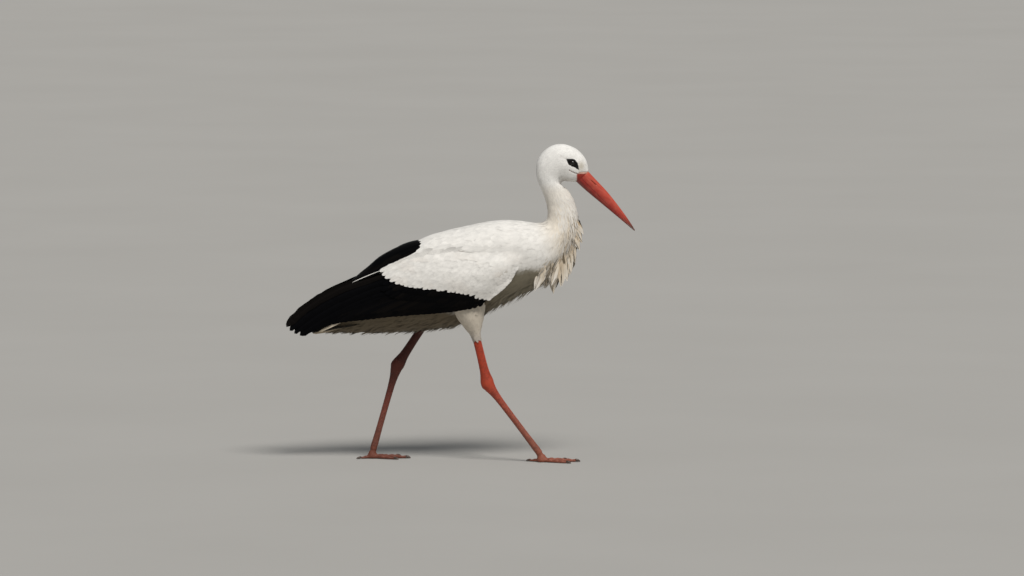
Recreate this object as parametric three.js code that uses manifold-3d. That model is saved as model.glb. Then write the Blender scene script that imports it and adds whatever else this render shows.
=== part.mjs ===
// A life-size white stork in mid stride, as a still display model.
// Millimetres. +X runs towards the bill, +Y is the bird's left, +Z is up, and the floor is z = 0.
import * as THREE from "three";
import { mergeVertices } from "three/addons/utils/BufferGeometryUtils.js";
import Module from "manifold-3d";

const wasm = await Module();
wasm.setup();
const { lerp, clamp, degToRad } = THREE.MathUtils;

// ---------- Driving sizes ----------

const GAP = 0.3; // clearance between solids that touch
const CURVED_GAP = 1.8; // clearance between curved faces whose facets don't line up
const BODY_SIDES = 20;
const THIGH_SIDES = 12;
const LEG_SIDES = 10;
const TOE_SIDES = 7;
const CLAW_SIDES = 6;
const RIGHT = -1; // the right side is -Y
const LEFT = 1;
const SIDES = [RIGHT, LEFT];
const FAR_OUT = 60; // how far a cutter reaches out of the body

// Sections of the body from the bill's base round the head, down the neck and back to the tail's root:
// dorsal x and z, ventral x and z, half width.
const BODY = [
  [282.3, 637.5, 257.7, 613.7, 12.5], // 0, bill base
  [280.0, 656.0, 248.6, 611.2, 17.5],
  [271.7, 672.6, 239.8, 611.4, 21.5],
  [256.3, 688.0, 232.8, 612.5, 24.0],
  [236.5, 696.8, 227.9, 613.8, 25.5],
  [216.7, 699.0, 225.3, 614.3, 26.0], // 5, crown
  [196.9, 692.9, 224.0, 613.4, 25.5],
  [179.3, 678.1, 223.5, 611.6, 24.5],
  [169.4, 659.3, 224.2, 609.4, 23.0],
  [167.2, 639.4, 226.2, 606.3, 22.0],
  [170.5, 619.6, 233.0, 602.4, 21.5], // 10, nape
  [178.2, 600.8, 241.0, 591.6, 21.5],
  [185.9, 582.0, 249.0, 578.0, 22.5],
  [191.4, 564.4, 255.0, 561.0, 24.5],
  [193.5, 547.8, 258.5, 539.0, 28.0],
  [192.5, 533.0, 258.5, 510.0, 34.0], // 15, neck root
  [182.0, 524.5, 253.0, 479.5, 43.0],
  [166.0, 524.6, 240.0, 445.0, 54.0],
  [147.4, 526.2, 214.0, 410.0, 64.0],
  [125.4, 529.1, 174.0, 384.0, 72.0],
  [96.8, 530.6, 126.0, 364.0, 77.0], // 20, shoulders
  [63.8, 527.7, 81.4, 341.0, 80.0],
  [26.4, 520.2, 37.4, 315.5, 82.0],
  [-17.6, 510.7, -8.8, 297.0, 81.0],
  [-66.0, 498.1, -61.6, 289.5, 76.0],
  [-114.4, 478.3, -116.6, 285.0, 66.0], // 25, loins
  [-165.0, 449.5, -171.6, 283.0, 54.0],
  [-215.6, 409.8, -224.4, 283.0, 41.0],
  [-259.6, 363.4, -268.4, 285.0, 28.0],
  [-297.0, 321.5, -303.6, 287.0, 15.0], // 29, tail root
];
const HEAD_SECTIONS = 10; // the tightly curved head has rings at half sections too
const KEEL = 0.14; // how much narrower the belly is than the back
const KEEL_FROM = 17; // section where the narrowing is full
// The named lengths of the body, each up to the section where it is cut from the next.
const BODY_PARTS = [
  ["head", 10.5],
  ["neck_upper", 13],
  ["neck_lower", 16],
  ["breast", 20.5],
  ["trunk", 25],
  ["rump", Infinity],
];

// Bill: a straight dagger, pointed down from the head.
const BILL_BASE = new THREE.Vector3(270, 0, 625.6);
const BILL_PITCH = degToRad(45.9);
const BILL_WIDTH = 24;
// Distance from the base, culmen height, tomium height, lower edge, share of the base width.
const BILL = [
  [0.6, 17.2, -4.0, -17.2, 1.0],
  [25, 16.8, -3.4, -15.6, 0.9],
  [60, 16.2, -2.6, -12.0, 0.74],
  [95, 12.8, -1.8, -8.2, 0.56],
  [125, 8.8, -1.1, -5.0, 0.38],
  [150, 4.4, -0.7, -2.5, 0.2],
  [164, 1.1, -0.4, -1.3, 0.07],
];
const BILL_COLUMNS = { culmen: 1, tomium: 2, gonys: 3 };
const EYE_CENTRE = new THREE.Vector3(247, 20.2, 658.5);
const EYE_RADIUS = 6.8;

// Folded wing: x, top z, bottom z, top y, bottom y, outward bulge, thickness, with y off the mid plane.
const WING = [
  [136, 465, 447, 66, 71, 3, 6],
  [114, 471, 419, 69, 78, 8, 9],
  [88, 471, 390, 70, 80, 14, 12],
  [59, 470, 361, 71, 78, 19, 13],
  [22, 468, 339, 70, 76, 23, 13],
  [-22, 467, 334, 66, 73, 23, 12],
  [-77, 461, 328, 57, 68, 21, 10],
  [-128, 449, 321, 46, 62, 17, 8],
  [-180, 423, 314, 35, 55, 13, 6],
  [-235, 404, 311, 24, 47, 10, 5],
  [-255, 402, 309, 18, 45, 9.5, 4.8],
  [-283, 388, 302, 11, 42, 9, 4.5],
  [-326, 360, 283, 6, 36, 7, 4],
  [-350, 339, 273, 6, 30, 5, 3.5],
  [-367, 320, 276, 8, 25, 3, 3],
  [-382, 299, 290, 14, 18, 1, 2],
];
const WING_EDGE_SHARE = 0.3; // thickness left along the long edges
const WING_ROWS = { coverts: 4, secondaries: 4, primaries: 3 }; // facets from top to bottom
const ROOM_ROWS = 6; // the same, in the room that neighbours leave for a wing
const ROOM_EDGE = 0.03; // how far that room passes the wing's edges, as a share of its height
const TIP_NOTCH = { from: -340, pitch: 13, depth: 8 }; // the stepped ends of the longest primaries
// Lower edge of the white coverts over the black flight feathers: x, z.
const COVERT_EDGE = [
  [-181, 419],
  [-170, 409],
  [-157, 398],
  [-144, 392],
  [-121, 387],
  [-63, 380],
  [-31, 375],
  [2, 371],
  [30, 366],
  [44, 356],
  [59, 358],
];
// Where each wing part ends along x; the white coverts lie over the flight feathers in front.
const COVERTS_FROM = -180;
const FLIGHT_TO = 44;
const PRIMARIES_TO = -242;

// Black scapulars that roof the rump between the wings: x, ridge z, lower z, lower y, bulge, thickness.
const SCAPULARS = [
  [-88, 490, 468, 48, 7, 5],
  [-108, 485, 458, 43, 8, 6],
  [-128, 478.5, 447, 39, 8, 6.5],
  [-160, 464.5, 430, 33, 8, 6.5],
  [-192, 445.5, 412, 27, 7, 6],
  [-224, 422, 396, 19, 5, 5],
  [-238, 411, 393, 14, 4, 4],
  [-250, 398, 388, 8, 2, 3],
];

// Tail fan under the wing tips: x, z at the middle, half width, fall towards the sides, thickness.
const TAIL = [
  [-170, 320, 26, 2, 5],
  [-220, 308, 33, 4, 4.5],
  [-270, 297, 39, 5, 4],
  [-312, 288, 44, 5, 3.5],
  [-325, 285, 38, 4, 3],
  [-332, 284, 20, 1, 2.2],
];

const TAIL_THINNING = 0.6; // how much thinner the fan is at its sides

// Ruff of long foreneck plumes: section, depth over the neck at the ventral line.
const RUFF = [
  [13.2, 2.2],
  [14, 4.5],
  [15, 9],
  [16, 13],
  [17, 14],
  [17.8, 10],
  [18.6, 2.2],
];
const RUFF_HALF_ANGLE = degToRad(76);
const RUFF_EDGE = 2.2; // depth along the ruff's edges
const RUFF_INSET = 3; // how far the ruff reaches under the neck's surface before the neck is cut out of it
// Each free plume: section it grows from, angle off the ventral line, length, half width.
const PLUMES = [
  [15.0, 0, 62, 7],
  [15.8, -22, 62, 8],
  [15.8, 22, 62, 8],
  [16.3, 0, 64, 8],
  [16.8, -40, 62, 9],
  [16.8, 40, 62, 9],
  [17.0, -14, 66, 9],
  [17.0, 14, 66, 9],
  [17.7, -30, 56, 9],
  [17.7, 30, 56, 9],
  [17.9, 0, 60, 9],
  [17.9, -56, 46, 9],
  [17.9, 56, 46, 9],
];
const PLUME_FALL = new THREE.Vector3(-0.36, 0, -1).normalize();
const PLUME_DEPTH = 4.2; // half the thickness
const PLUME_CLING = 0.12; // how much a plume bends in towards the breast
// Along a plume: share of its length, of its half width, of its depth.
const PLUME_LEAF = [
  [0.0, 0.6, 0.8],
  [0.35, 1.0, 1.0],
  [0.65, 0.85, 0.8],
  [0.87, 0.45, 0.5],
  [1.0, 0.1, 0.25],
];
const PLUME_SIDES = 4;

// Legs, knee to ankle to foot. The right leg reaches forward and the left one trails.
const LEGS = {
  right: {
    side: RIGHT,
    knee: [8, -42, 393],
    ankle: [61, -41, 172],
    foot: [180, -38, 13],
    heading: 2,
  },
  left: {
    side: LEFT,
    knee: [-11, 42, 401],
    ankle: [-139.5, 41, 205],
    foot: [-194, 38, 13],
    heading: -2,
  },
};
// Share of the way from knee to ankle, half depth, half width.
const THIGH_PROFILE = [
  [0.0, 44, 30],
  [0.2, 39, 29],
  [0.34, 29, 25],
  [0.44, 20, 18.5],
  [0.53, 11, 11],
];
const SHANK_PROFILE = [
  [0.5, 9.0, 7.6],
  [0.7, 8.8, 7.4],
  [0.86, 10.0, 8.6],
  [0.93, 12.6, 10.0],
];
// The ankle bends from the shank's last share to the tarsus's first one.
const ANKLE_PROFILE = [
  [0.93, 12.6, 10.0],
  [0.97, 15.4, 11.4],
  [1.0, 15.4, 11.8],
];
const TARSUS_TOP_PROFILE = [
  [0.05, 12.6, 11.0],
  [0.12, 9.2, 8.6],
];
const TARSUS_PROFILE = [
  [0.12, 9.2, 8.6],
  [0.27, 7.2, 6.8],
  [0.6, 6.6, 6.2],
  [0.85, 7.2, 7.0],
  [0.96, 8.6, 9.0],
];
const FOOT_RADIUS = 12;
const FOOT_HEIGHT = 17;
const FOOT_SIDES = 12;
// Share of the foot's height, share of its radius.
const FOOT_PROFILE = [
  [0, 0.8],
  [0.25, 1],
  [0.6, 0.86],
  [1, 0.62],
];
// Toes: name, angle off the foot's heading (outward is positive), length without claw, thickness, joints.
const TOES = [
  ["toe_inner", -27, 58, 10.5, 2],
  ["toe_middle", 1, 76, 11.5, 3],
  ["toe_outer", 31, 64, 10.5, 3],
  ["toe_hind", -152, 30, 9, 1],
];
const FRONT_TOES = TOES.slice(0, 3).map((spec) => spec[1]);
const TOE_SOLE = 1.6; // how far the round toes are flattened where they meet the floor
const TOE_TAPER = 0.66; // thickness of a toe's last joint as a share of its root's
const KNUCKLE = 0.12; // how much a toe swells at each joint
const CLAW_LENGTH = 9;
const CLAW_ROOT = 0.58; // thickness of a claw's root as a share of the toe's root
const CLAW_LIFT = 0.9; // how far the claws clear the floor
// Share of a claw's length, of its height, of its width.
const CLAW_PROFILE = [
  [0, 1, 1],
  [0.35, 0.9, 0.92],
  [0.7, 0.62, 0.7],
  [1, 0.2, 0.35],
];

// ---------- Shape helpers ----------

function catmullRom(a, b, c, d, f) {
  const slope = c - a;
  const curve = 2 * a - 5 * b + 4 * c - d;
  const twist = -a + 3 * b - 3 * c + d;
  return b + 0.5 * f * (slope + f * (curve + f * twist));
}

// The row of a table at a fractional index, on a smooth curve through all its rows.
function rowAt(rows, t) {
  const last = rows.length - 1;
  const i = clamp(Math.floor(t), 0, last - 1);
  const [a, b, c, d] = [i - 1, i, i + 1, i + 2].map((k) => rows[clamp(k, 0, last)]);
  return b.map((value, k) => catmullRom(a[k], value, c[k], d[k], t - i));
}

// The same, looked up by the table's first column, which only rises or only falls.
function rowAtX(rows, x) {
  const rising = rows.at(-1)[0] > rows[0][0];
  const past = rows.findIndex((r) => (rising ? r[0] > x : r[0] < x));
  const i = past < 0 ? rows.length - 2 : Math.max(past - 1, 0);
  const f = (x - rows[i][0]) / (rows[i + 1][0] - rows[i][0]);
  return rowAt(rows, i + clamp(f, 0, 1));
}

function steps(from, to, count) {
  return Array.from({ length: count + 1 }, (_, i) => lerp(from, to, i / count));
}

// The angles of a ring's points, once round.
function around(sides) {
  return steps(0, 2 * Math.PI, sides).slice(0, sides);
}

// A closed solid from triangles, turned to face out.
function toSolid(points, faces) {
  const loose = new THREE.BufferGeometry().setFromPoints(points);
  const geometry = mergeVertices(loose.setIndex(faces), 1e-3);
  const mesh = new wasm.Mesh({
    numProp: 3,
    vertProperties: geometry.attributes.position.array,
    triVerts: new Uint32Array(geometry.index.array),
  });
  const solid = new wasm.Manifold(mesh);
  if (solid.volume() >= 0) return solid;
  for (let i = 0; i < mesh.triVerts.length; i += 3) {
    [mesh.triVerts[i], mesh.triVerts[i + 1]] = [mesh.triVerts[i + 1], mesh.triVerts[i]];
  }
  return new wasm.Manifold(mesh);
}

// A closed solid from rings of points, each ring in order round the same axis, with flat ends.
function loft(rings) {
  const sides = rings[0].length;
  const points = rings.flat();
  const faces = [];
  for (let r = 0; r + 1 < rings.length; r++) {
    for (let s = 0; s < sides; s++) {
      const a = r * sides + s;
      const b = r * sides + ((s + 1) % sides);
      faces.push(a, b, a + sides, b, b + sides, a + sides);
    }
  }
  const lastRing = (rings.length - 1) * sides;
  for (let s = 1; s + 1 < sides; s++) {
    faces.push(0, s + 1, s, lastRing, lastRing + s, lastRing + s + 1);
  }
  return toSolid(points, faces);
}

// A closed solid between two equal grids of points, its outer and inner faces, with walls round the edge.
function shell(outer, inner) {
  const rows = outer.length;
  const columns = outer[0].length;
  const points = [...outer.flat(), ...inner.flat()];
  const offset = rows * columns;
  const at = (r, c) => r * columns + c;
  const faces = [];
  const quad = (a, b, c, d) => faces.push(a, b, c, a, c, d);
  for (let r = 0; r + 1 < rows; r++) {
    for (let c = 0; c + 1 < columns; c++) {
      quad(at(r, c), at(r, c + 1), at(r + 1, c + 1), at(r + 1, c));
      const [i, j, k, l] = [at(r, c), at(r + 1, c), at(r + 1, c + 1), at(r, c + 1)];
      quad(offset + i, offset + j, offset + k, offset + l);
    }
    const [a, b] = [at(r, 0), at(r + 1, 0)];
    quad(a, b, offset + b, offset + a);
    const [c, d] = [at(r, columns - 1), at(r + 1, columns - 1)];
    quad(d, c, offset + c, offset + d);
  }
  for (let c = 0; c + 1 < columns; c++) {
    const [a, b] = [at(0, c), at(0, c + 1)];
    quad(b, a, offset + a, offset + b);
    const [d, e] = [at(rows - 1, c), at(rows - 1, c + 1)];
    quad(d, e, offset + e, offset + d);
  }
  return toSolid(points, faces);
}

// The biggest body of a solid that a cut may have left in pieces.
function largest(solid) {
  return solid.decompose().reduce((a, b) => (b.volume() > a.volume() ? b : a));
}

function union(solids) {
  return solids.reduce((a, b) => a.add(b));
}

// ---------- Materials ----------

const COLOURS = {
  white: [0xe9e4da, 0.85],
  black: [0x111114, 0.55],
  red: [0xb5301f, 0.5],
  bill: [0xb92d20, 0.35],
  horn: [0x3a2b26, 0.45],
  eye: [0x0b0806, 0.1],
};
const MATERIALS = Object.fromEntries(
  Object.entries(COLOURS).map(([name, [color, roughness]]) => [
    name,
    new THREE.MeshStandardMaterial({ color, roughness, metalness: 0 }),
  ]),
);
const stork = new THREE.Group();
stork.name = "white_stork";

function addNode(name, solid, material) {
  const { vertProperties, triVerts, numProp, numVert } = solid.getMesh();
  const position = new Float32Array(numVert * 3);
  for (let i = 0; i < numVert; i++) {
    position.set(vertProperties.subarray(i * numProp, i * numProp + 3), i * 3);
  }
  const geometry = new THREE.BufferGeometry();
  geometry.setAttribute("position", new THREE.BufferAttribute(position, 3));
  geometry.setIndex(new THREE.BufferAttribute(triVerts, 1));
  geometry.computeVertexNormals();
  const mesh = new THREE.Mesh(geometry, MATERIALS[material]);
  mesh.name = name;
  stork.add(mesh);
}

// ---------- Body: head, neck and trunk ----------

// A point on the body's surface: t is the section, angle runs from 0 on the back to pi on the belly.
function bodyPoint(t, angle, grow = 0) {
  const [dorsalX, dorsalZ, ventralX, ventralZ, halfWidth] = rowAt(BODY, t);
  const middle = new THREE.Vector3((dorsalX + ventralX) / 2, 0, (dorsalZ + ventralZ) / 2);
  const up = new THREE.Vector3(dorsalX, 0, dorsalZ).sub(middle);
  const reach = up.length() + grow;
  const keel = 1 + KEEL * clamp(t / KEEL_FROM, 0, 1) * Math.cos(angle);
  const side = (halfWidth * keel + grow) * Math.sin(angle);
  return middle.addScaledVector(up.normalize(), reach * Math.cos(angle)).setY(side);
}

function bodyLoft(grow = 0) {
  const last = BODY.length - 1;
  const sections = [
    ...steps(0, HEAD_SECTIONS, 2 * HEAD_SECTIONS),
    ...steps(HEAD_SECTIONS + 1, last, last - HEAD_SECTIONS - 1),
  ];
  return loft(sections.map((t) => around(BODY_SIDES).map((angle) => bodyPoint(t, angle, grow))));
}

// The plane of the body's section t, facing the tail: its normal and its distance from the origin.
function sectionPlane(t) {
  const [back, belly] = [bodyPoint(t, 0), bodyPoint(t, Math.PI)];
  const normal = new THREE.Vector3(0, 1, 0).cross(belly.clone().sub(back)).normalize();
  return { normal, distance: normal.dot(back) };
}

// The part of a solid between two sections of the body, with half a gap left at each cut.
function betweenSections(solid, from, to) {
  let part = solid;
  if (from > 0) {
    const { normal, distance } = sectionPlane(from);
    part = part.trimByPlane(normal.toArray(), distance + GAP / 2);
  }
  if (to < BODY.length - 1) {
    const { normal, distance } = sectionPlane(to);
    part = part.trimByPlane(normal.negate().toArray(), GAP / 2 - distance);
  }
  return part;
}

// ---------- Wings, scapulars and tail ----------

// A point of a curved upright band. Share runs from its top edge to its bottom edge; depth is inwards.
function bandPoint(band, side, share, depth) {
  const [x, topZ, bottomZ, topY, bottomY, bulge] = band;
  const fall = new THREE.Vector2(bottomY - topY, bottomZ - topZ);
  const outward = new THREE.Vector2(-fall.y, fall.x).normalize();
  const out = bulge * Math.sin(Math.PI * share) - depth;
  const y = topY + fall.x * share + outward.x * out;
  const z = topZ + fall.y * share + outward.y * out;
  return new THREE.Vector3(x, side * y, z);
}

function bandThickness(band, share) {
  const rise = Math.sqrt(Math.max(Math.sin(Math.PI * share), 0));
  return band[6] * lerp(WING_EDGE_SHARE, 1, rise);
}

// A band over columns of { band, from, to }, where from and to are the shares it covers.
function bandSolid(columns, side, rows, outerDepth, innerDepth) {
  const grid = (depthAt) =>
    columns.map(({ band, from, to }) =>
      steps(from, to, rows).map((share) => bandPoint(band, side, share, depthAt(band, share))),
    );
  return shell(grid(outerDepth), grid(innerDepth));
}

// All wing parts share these columns, so that their facets line up.
const wingTip = WING.at(-1)[0];
const wingFront = WING[0][0];
const WING_COLUMNS = [
  ...steps(wingTip, TIP_NOTCH.from, 9),
  ...steps(TIP_NOTCH.from + 20, PRIMARIES_TO - GAP / 2, 3),
  ...steps(PRIMARIES_TO + GAP / 2, COVERTS_FROM, 3),
  ...steps(COVERTS_FROM + 12, FLIGHT_TO, 9),
  ...steps(FLIGHT_TO + 15, wingFront, 4),
];

function wingBand(x) {
  const band = rowAtX(WING, x);
  const past = Math.max(TIP_NOTCH.from - x, 0);
  const step = (past / TIP_NOTCH.pitch) % 1;
  band[2] += TIP_NOTCH.depth * Math.sin(Math.PI * step) * Math.min(past, 1);
  return band;
}

function covertShare(band) {
  const x = band[0];
  const i = clamp(
    COVERT_EDGE.findIndex((p) => p[0] > x),
    1,
    COVERT_EDGE.length - 1,
  );
  const [[x0, z0], [x1, z1]] = [COVERT_EDGE[i - 1], COVERT_EDGE[i]];
  if (x >= COVERT_EDGE.at(-1)[0]) return 1;
  const z = lerp(z0, z1, clamp((x - x0) / (x1 - x0), 0, 1));
  return clamp((band[1] - z) / (band[1] - band[2]), 0.03, 0.97);
}

// Wing columns from one x to another, each with the shares of its band that rangeOf gives.
function wingColumns(from, to, rangeOf) {
  return WING_COLUMNS.filter((x) => x >= from && x <= to).map((x) => {
    const band = wingBand(x);
    return { band, ...rangeOf(band) };
  });
}

const covertRange = (band) => ({ from: 0, to: covertShare(band) });
const flightRange = (band) => {
  if (band[0] < COVERTS_FROM) return { from: 0, to: 1 };
  return { from: covertShare(band) + (2 * GAP) / (band[1] - band[2]), to: 1 };
};
const surface = () => 0;
// The depth just inside a band, for a cutter that clears it.
const clearDepth = (band, share) => bandThickness(band, clamp(share, 0, 1)) + CURVED_GAP;

// The room a band takes, with clearance, out to a distance from its outer face.
function bandRoom(columns, side, distance) {
  const wide = columns.map(({ band }) => ({ band, from: -ROOM_EDGE, to: 1 + ROOM_EDGE }));
  return bandSolid(wide, side, ROOM_ROWS, () => -distance, clearDepth);
}

function scapularColumns() {
  return steps(SCAPULARS[0][0], SCAPULARS.at(-1)[0], 9).map((x) => {
    const [, topZ, bottomZ, bottomY, bulge, thickness] = rowAtX(SCAPULARS, x);
    return { band: [x, topZ, bottomZ, 0, bottomY, bulge, thickness], from: 0, to: 1 };
  });
}

function tailSolid() {
  const columns = steps(0, TAIL.length - 1, TAIL.length + 1).map((t) => rowAt(TAIL, t));
  const grid = (lower) =>
    columns.map(([x, z, halfWidth, fall, thickness]) =>
      steps(-1, 1, 6).map((share) => {
        const sag = fall * share * share;
        const depth = lower * thickness * (1 - TAIL_THINNING * share * share);
        return new THREE.Vector3(x, halfWidth * share, z - sag - depth);
      }),
    );
  return shell(grid(0), grid(1));
}

// ---------- Ruff of plumes ----------

function ruffShell() {
  const rows = steps(0, RUFF.length - 1, 8).map((t) => rowAt(RUFF, t));
  const across = steps(-1, 1, 8);
  const grid = (depthAt) =>
    rows.map(([t, depth]) =>
      across.map((c) => bodyPoint(t, Math.PI + RUFF_HALF_ANGLE * c, depthAt(depth, c))),
    );
  return shell(
    grid((depth, c) => lerp(depth, RUFF_EDGE, c * c)),
    grid(() => -RUFF_INSET),
  );
}

// One hanging plume: a flat pointed leaf whose root lies in the ruff.
function plume([t, degrees, length, halfWidth]) {
  const angle = Math.PI + degToRad(degrees);
  const depth = rowAtX(RUFF, t)[1];
  const root = bodyPoint(t, angle, depth - PLUME_DEPTH);
  const outward = bodyPoint(t, angle, depth).sub(root).normalize();
  const along = PLUME_FALL.clone().addScaledVector(outward, -PLUME_CLING).normalize();
  const across = new THREE.Vector3().crossVectors(along, outward).normalize();
  const proud = new THREE.Vector3().crossVectors(across, along).normalize();
  return loft(
    PLUME_LEAF.map(([share, width, thick]) => {
      const centre = root.clone().addScaledVector(along, length * share);
      return around(PLUME_SIDES).map((a) =>
        centre
          .clone()
          .addScaledVector(across, halfWidth * width * Math.cos(a))
          .addScaledVector(proud, PLUME_DEPTH * thick * Math.sin(a)),
      );
    }),
  );
}

// ---------- Bill and eyes ----------

const billForward = new THREE.Vector3(Math.cos(BILL_PITCH), 0, -Math.sin(BILL_PITCH));
const billUp = new THREE.Vector3(Math.sin(BILL_PITCH), 0, Math.cos(BILL_PITCH));

// Half of the bill: a round back on a flat cutting edge, which is the tomium moved by an inset.
function mandible(backColumn, inset) {
  return loft(
    steps(0, BILL.length - 1, BILL.length + 1).map((t) => {
      const row = rowAt(BILL, t);
      const centre = BILL_BASE.clone().addScaledVector(billForward, row[0]);
      const base = row[BILL_COLUMNS.tomium] + inset;
      const height = row[backColumn] - base;
      const halfWidth = (BILL_WIDTH / 2) * row.at(-1);
      return steps(0, Math.PI, 6).map((a) =>
        centre
          .clone()
          .addScaledVector(billUp, base + height * Math.sin(a))
          .setY(halfWidth * Math.cos(a)),
      );
    }),
  );
}

function ball(centre, radius) {
  const geometry = new THREE.SphereGeometry(radius, 12, 8).translate(centre.x, centre.y, centre.z);
  geometry.deleteAttribute("normal");
  geometry.deleteAttribute("uv");
  const merged = mergeVertices(geometry, 1e-3);
  const vertProperties = merged.attributes.position.array;
  const triVerts = new Uint32Array(merged.index.array);
  return new wasm.Manifold(new wasm.Mesh({ numProp: 3, vertProperties, triVerts }));
}

// ---------- Legs and feet ----------

// A round limb through stations of [centre, half depth, half width].
function limb(stations, sides = LEG_SIDES) {
  return loft(
    stations.map(([centre, halfDepth, halfWidth], i) => {
      const before = stations[Math.max(i - 1, 0)][0];
      const after = stations[Math.min(i + 1, stations.length - 1)][0];
      const along = after.clone().sub(before).normalize();
      const front = new THREE.Vector3().crossVectors(along, new THREE.Vector3(0, 1, 0)).normalize();
      const across = new THREE.Vector3().crossVectors(front, along).normalize();
      return around(sides).map((a) =>
        centre
          .clone()
          .addScaledVector(front, halfDepth * Math.cos(a))
          .addScaledVector(across, halfWidth * Math.sin(a)),
      );
    }),
  );
}

// Stations of a limb between two joints, two to each stretch of its profile.
function profileStations(profile, from, to) {
  const last = profile.length - 1;
  return steps(0, last, 2 * last).map((t) => {
    const [share, halfDepth, halfWidth] = rowAt(profile, t);
    return [from.clone().lerp(to, share), halfDepth, halfWidth];
  });
}

// Moves a limb's end station along it, to leave the gap to its neighbour.
function shortenEnd([end], [next]) {
  end.addScaledVector(next.clone().sub(end).normalize(), GAP);
}

// The foot's pad, flat on the floor, with a stub up to the tarsus.
function footPad(leg, grow = 0) {
  const [x, y] = leg.foot;
  return loft(
    FOOT_PROFILE.map(([share, width]) => {
      const z = share === 0 ? -grow : share * (FOOT_HEIGHT + grow);
      const radius = FOOT_RADIUS * width + grow;
      return around(FOOT_SIDES).map((a) => {
        return new THREE.Vector3(x + radius * Math.cos(a), y + radius * Math.sin(a), z);
      });
    }),
  );
}

function toeAxis(leg, degrees) {
  const turn = degToRad(leg.heading + leg.side * degrees);
  return new THREE.Vector3(Math.cos(turn), Math.sin(turn), 0);
}

// A ring across a toe or claw, clipped to the floor.
function flatRing(centre, along, halfHeight, halfWidth, sides) {
  const across = new THREE.Vector3(-along.y, along.x, 0);
  return around(sides).map((a) => {
    const point = centre.clone().addScaledVector(across, halfWidth * Math.sin(a));
    return point.setZ(Math.max(centre.z + halfHeight * Math.cos(a), 0));
  });
}

// The middle line between two toes' directions, as a cut that keeps one side of it.
function splitToes(solid, leg, degrees, neighbourDegrees) {
  const turn = degToRad(leg.heading + (leg.side * (degrees + neighbourDegrees)) / 2);
  const normal = new THREE.Vector3(-Math.sin(turn), Math.cos(turn), 0);
  normal.multiplyScalar(Math.sign(normal.dot(toeAxis(leg, degrees))));
  const [x, y] = leg.foot;
  return solid.trimByPlane(normal.toArray(), normal.x * x + normal.y * y + GAP / 2);
}

function toe(leg, [, degrees, length, thickness, joints]) {
  const along = toeAxis(leg, degrees);
  const root = new THREE.Vector3(leg.foot[0], leg.foot[1], 0);
  const bones = joints + 1;
  const solid = loft(
    steps(0, 1, 2 * bones).map((share) => {
      const knuckle = 1 + KNUCKLE * Math.cos(2 * Math.PI * share * bones);
      const radius = (thickness / 2) * lerp(1, TOE_TAPER, share) * knuckle;
      const centre = root.clone().addScaledVector(along, lerp(FOOT_RADIUS / 3, length, share));
      centre.z = radius - TOE_SOLE / 2;
      return flatRing(centre, along, radius, radius, TOE_SIDES);
    }),
  );
  const neighbours = FRONT_TOES.filter((other) => other !== degrees && Math.abs(other - degrees) < 90);
  return neighbours.reduce((part, other) => splitToes(part, leg, degrees, other), solid);
}

function claw(leg, [, degrees, length, thickness]) {
  const along = toeAxis(leg, degrees);
  const root = new THREE.Vector3(leg.foot[0], leg.foot[1], 0);
  const radius = (thickness / 2) * CLAW_ROOT;
  return loft(
    CLAW_PROFILE.map(([share, high, wide]) => {
      const distance = length + lerp(GAP, CLAW_LENGTH, share);
      const centre = root.clone().addScaledVector(along, distance);
      centre.z = CLAW_LIFT + radius * high;
      return flatRing(centre, along, radius * high, radius * wide, CLAW_SIDES);
    }),
  );
}

// ---------- Assembly ----------

const eyes = { right: EYE_CENTRE.clone().multiply(new THREE.Vector3(1, -1, 1)), left: EYE_CENTRE };
const eyeSockets = Object.values(eyes).map((centre) => ball(centre, EYE_RADIUS + 2 * GAP));
const allColumns = wingColumns(wingTip, wingFront, covertRange);
// What the wings and scapulars take out of the body: all that lies outside their inner faces.
const outsideWings = SIDES.flatMap((side) => [
  bandRoom(allColumns, side, FAR_OUT),
  bandRoom(scapularColumns(), side, FAR_OUT),
]);
const wingRooms = SIDES.map((side) => bandRoom(allColumns, side, CURVED_GAP));

const wholeBody = bodyLoft();
const bodyRoom = bodyLoft(GAP);
const bareBody = [...eyeSockets, ...outsideWings].reduce((a, b) => a.subtract(b), wholeBody);
BODY_PARTS.reduce((from, [name, to]) => {
  addNode(name, largest(betweenSections(bareBody, from, to)), "white");
  return to;
}, 0);
addNode("bill_upper", mandible(BILL_COLUMNS.culmen, GAP / 2), "bill");
addNode("bill_lower", mandible(BILL_COLUMNS.gonys, -GAP / 2), "bill");
for (const [name, centre] of Object.entries(eyes)) {
  addNode(`eye_${name}`, ball(centre, EYE_RADIUS), "eye");
}

const ruff = union([ruffShell(), ...PLUMES.map(plume)]).subtract(bodyRoom);
addNode("neck_plumes", largest(wingRooms.reduce((a, b) => a.subtract(b), ruff)), "white");
const tail = wingRooms.reduce((a, b) => a.subtract(b), tailSolid().subtract(bodyRoom));
addNode("tail", largest(tail), "white");

SIDES.forEach((side, i) => {
  const name = side === RIGHT ? "right" : "left";
  const roof = bandSolid(scapularColumns(), side, 4, surface, bandThickness).subtract(wingRooms[i]);
  addNode(`scapulars_${name}`, largest(roof.trimByPlane([0, side, 0], GAP / 2)), "black");
  for (const [part, from, to, rangeOf, material] of [
    ["coverts", COVERTS_FROM, wingFront, covertRange, "white"],
    ["secondaries", PRIMARIES_TO, FLIGHT_TO, flightRange, "black"],
    ["primaries", wingTip, PRIMARIES_TO, flightRange, "black"],
  ]) {
    const columns = wingColumns(from, to, rangeOf);
    const plate = bandSolid(columns, side, WING_ROWS[part], surface, bandThickness);
    addNode(`wing_${name}_${part}`, plate, material);
  }
});

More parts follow.
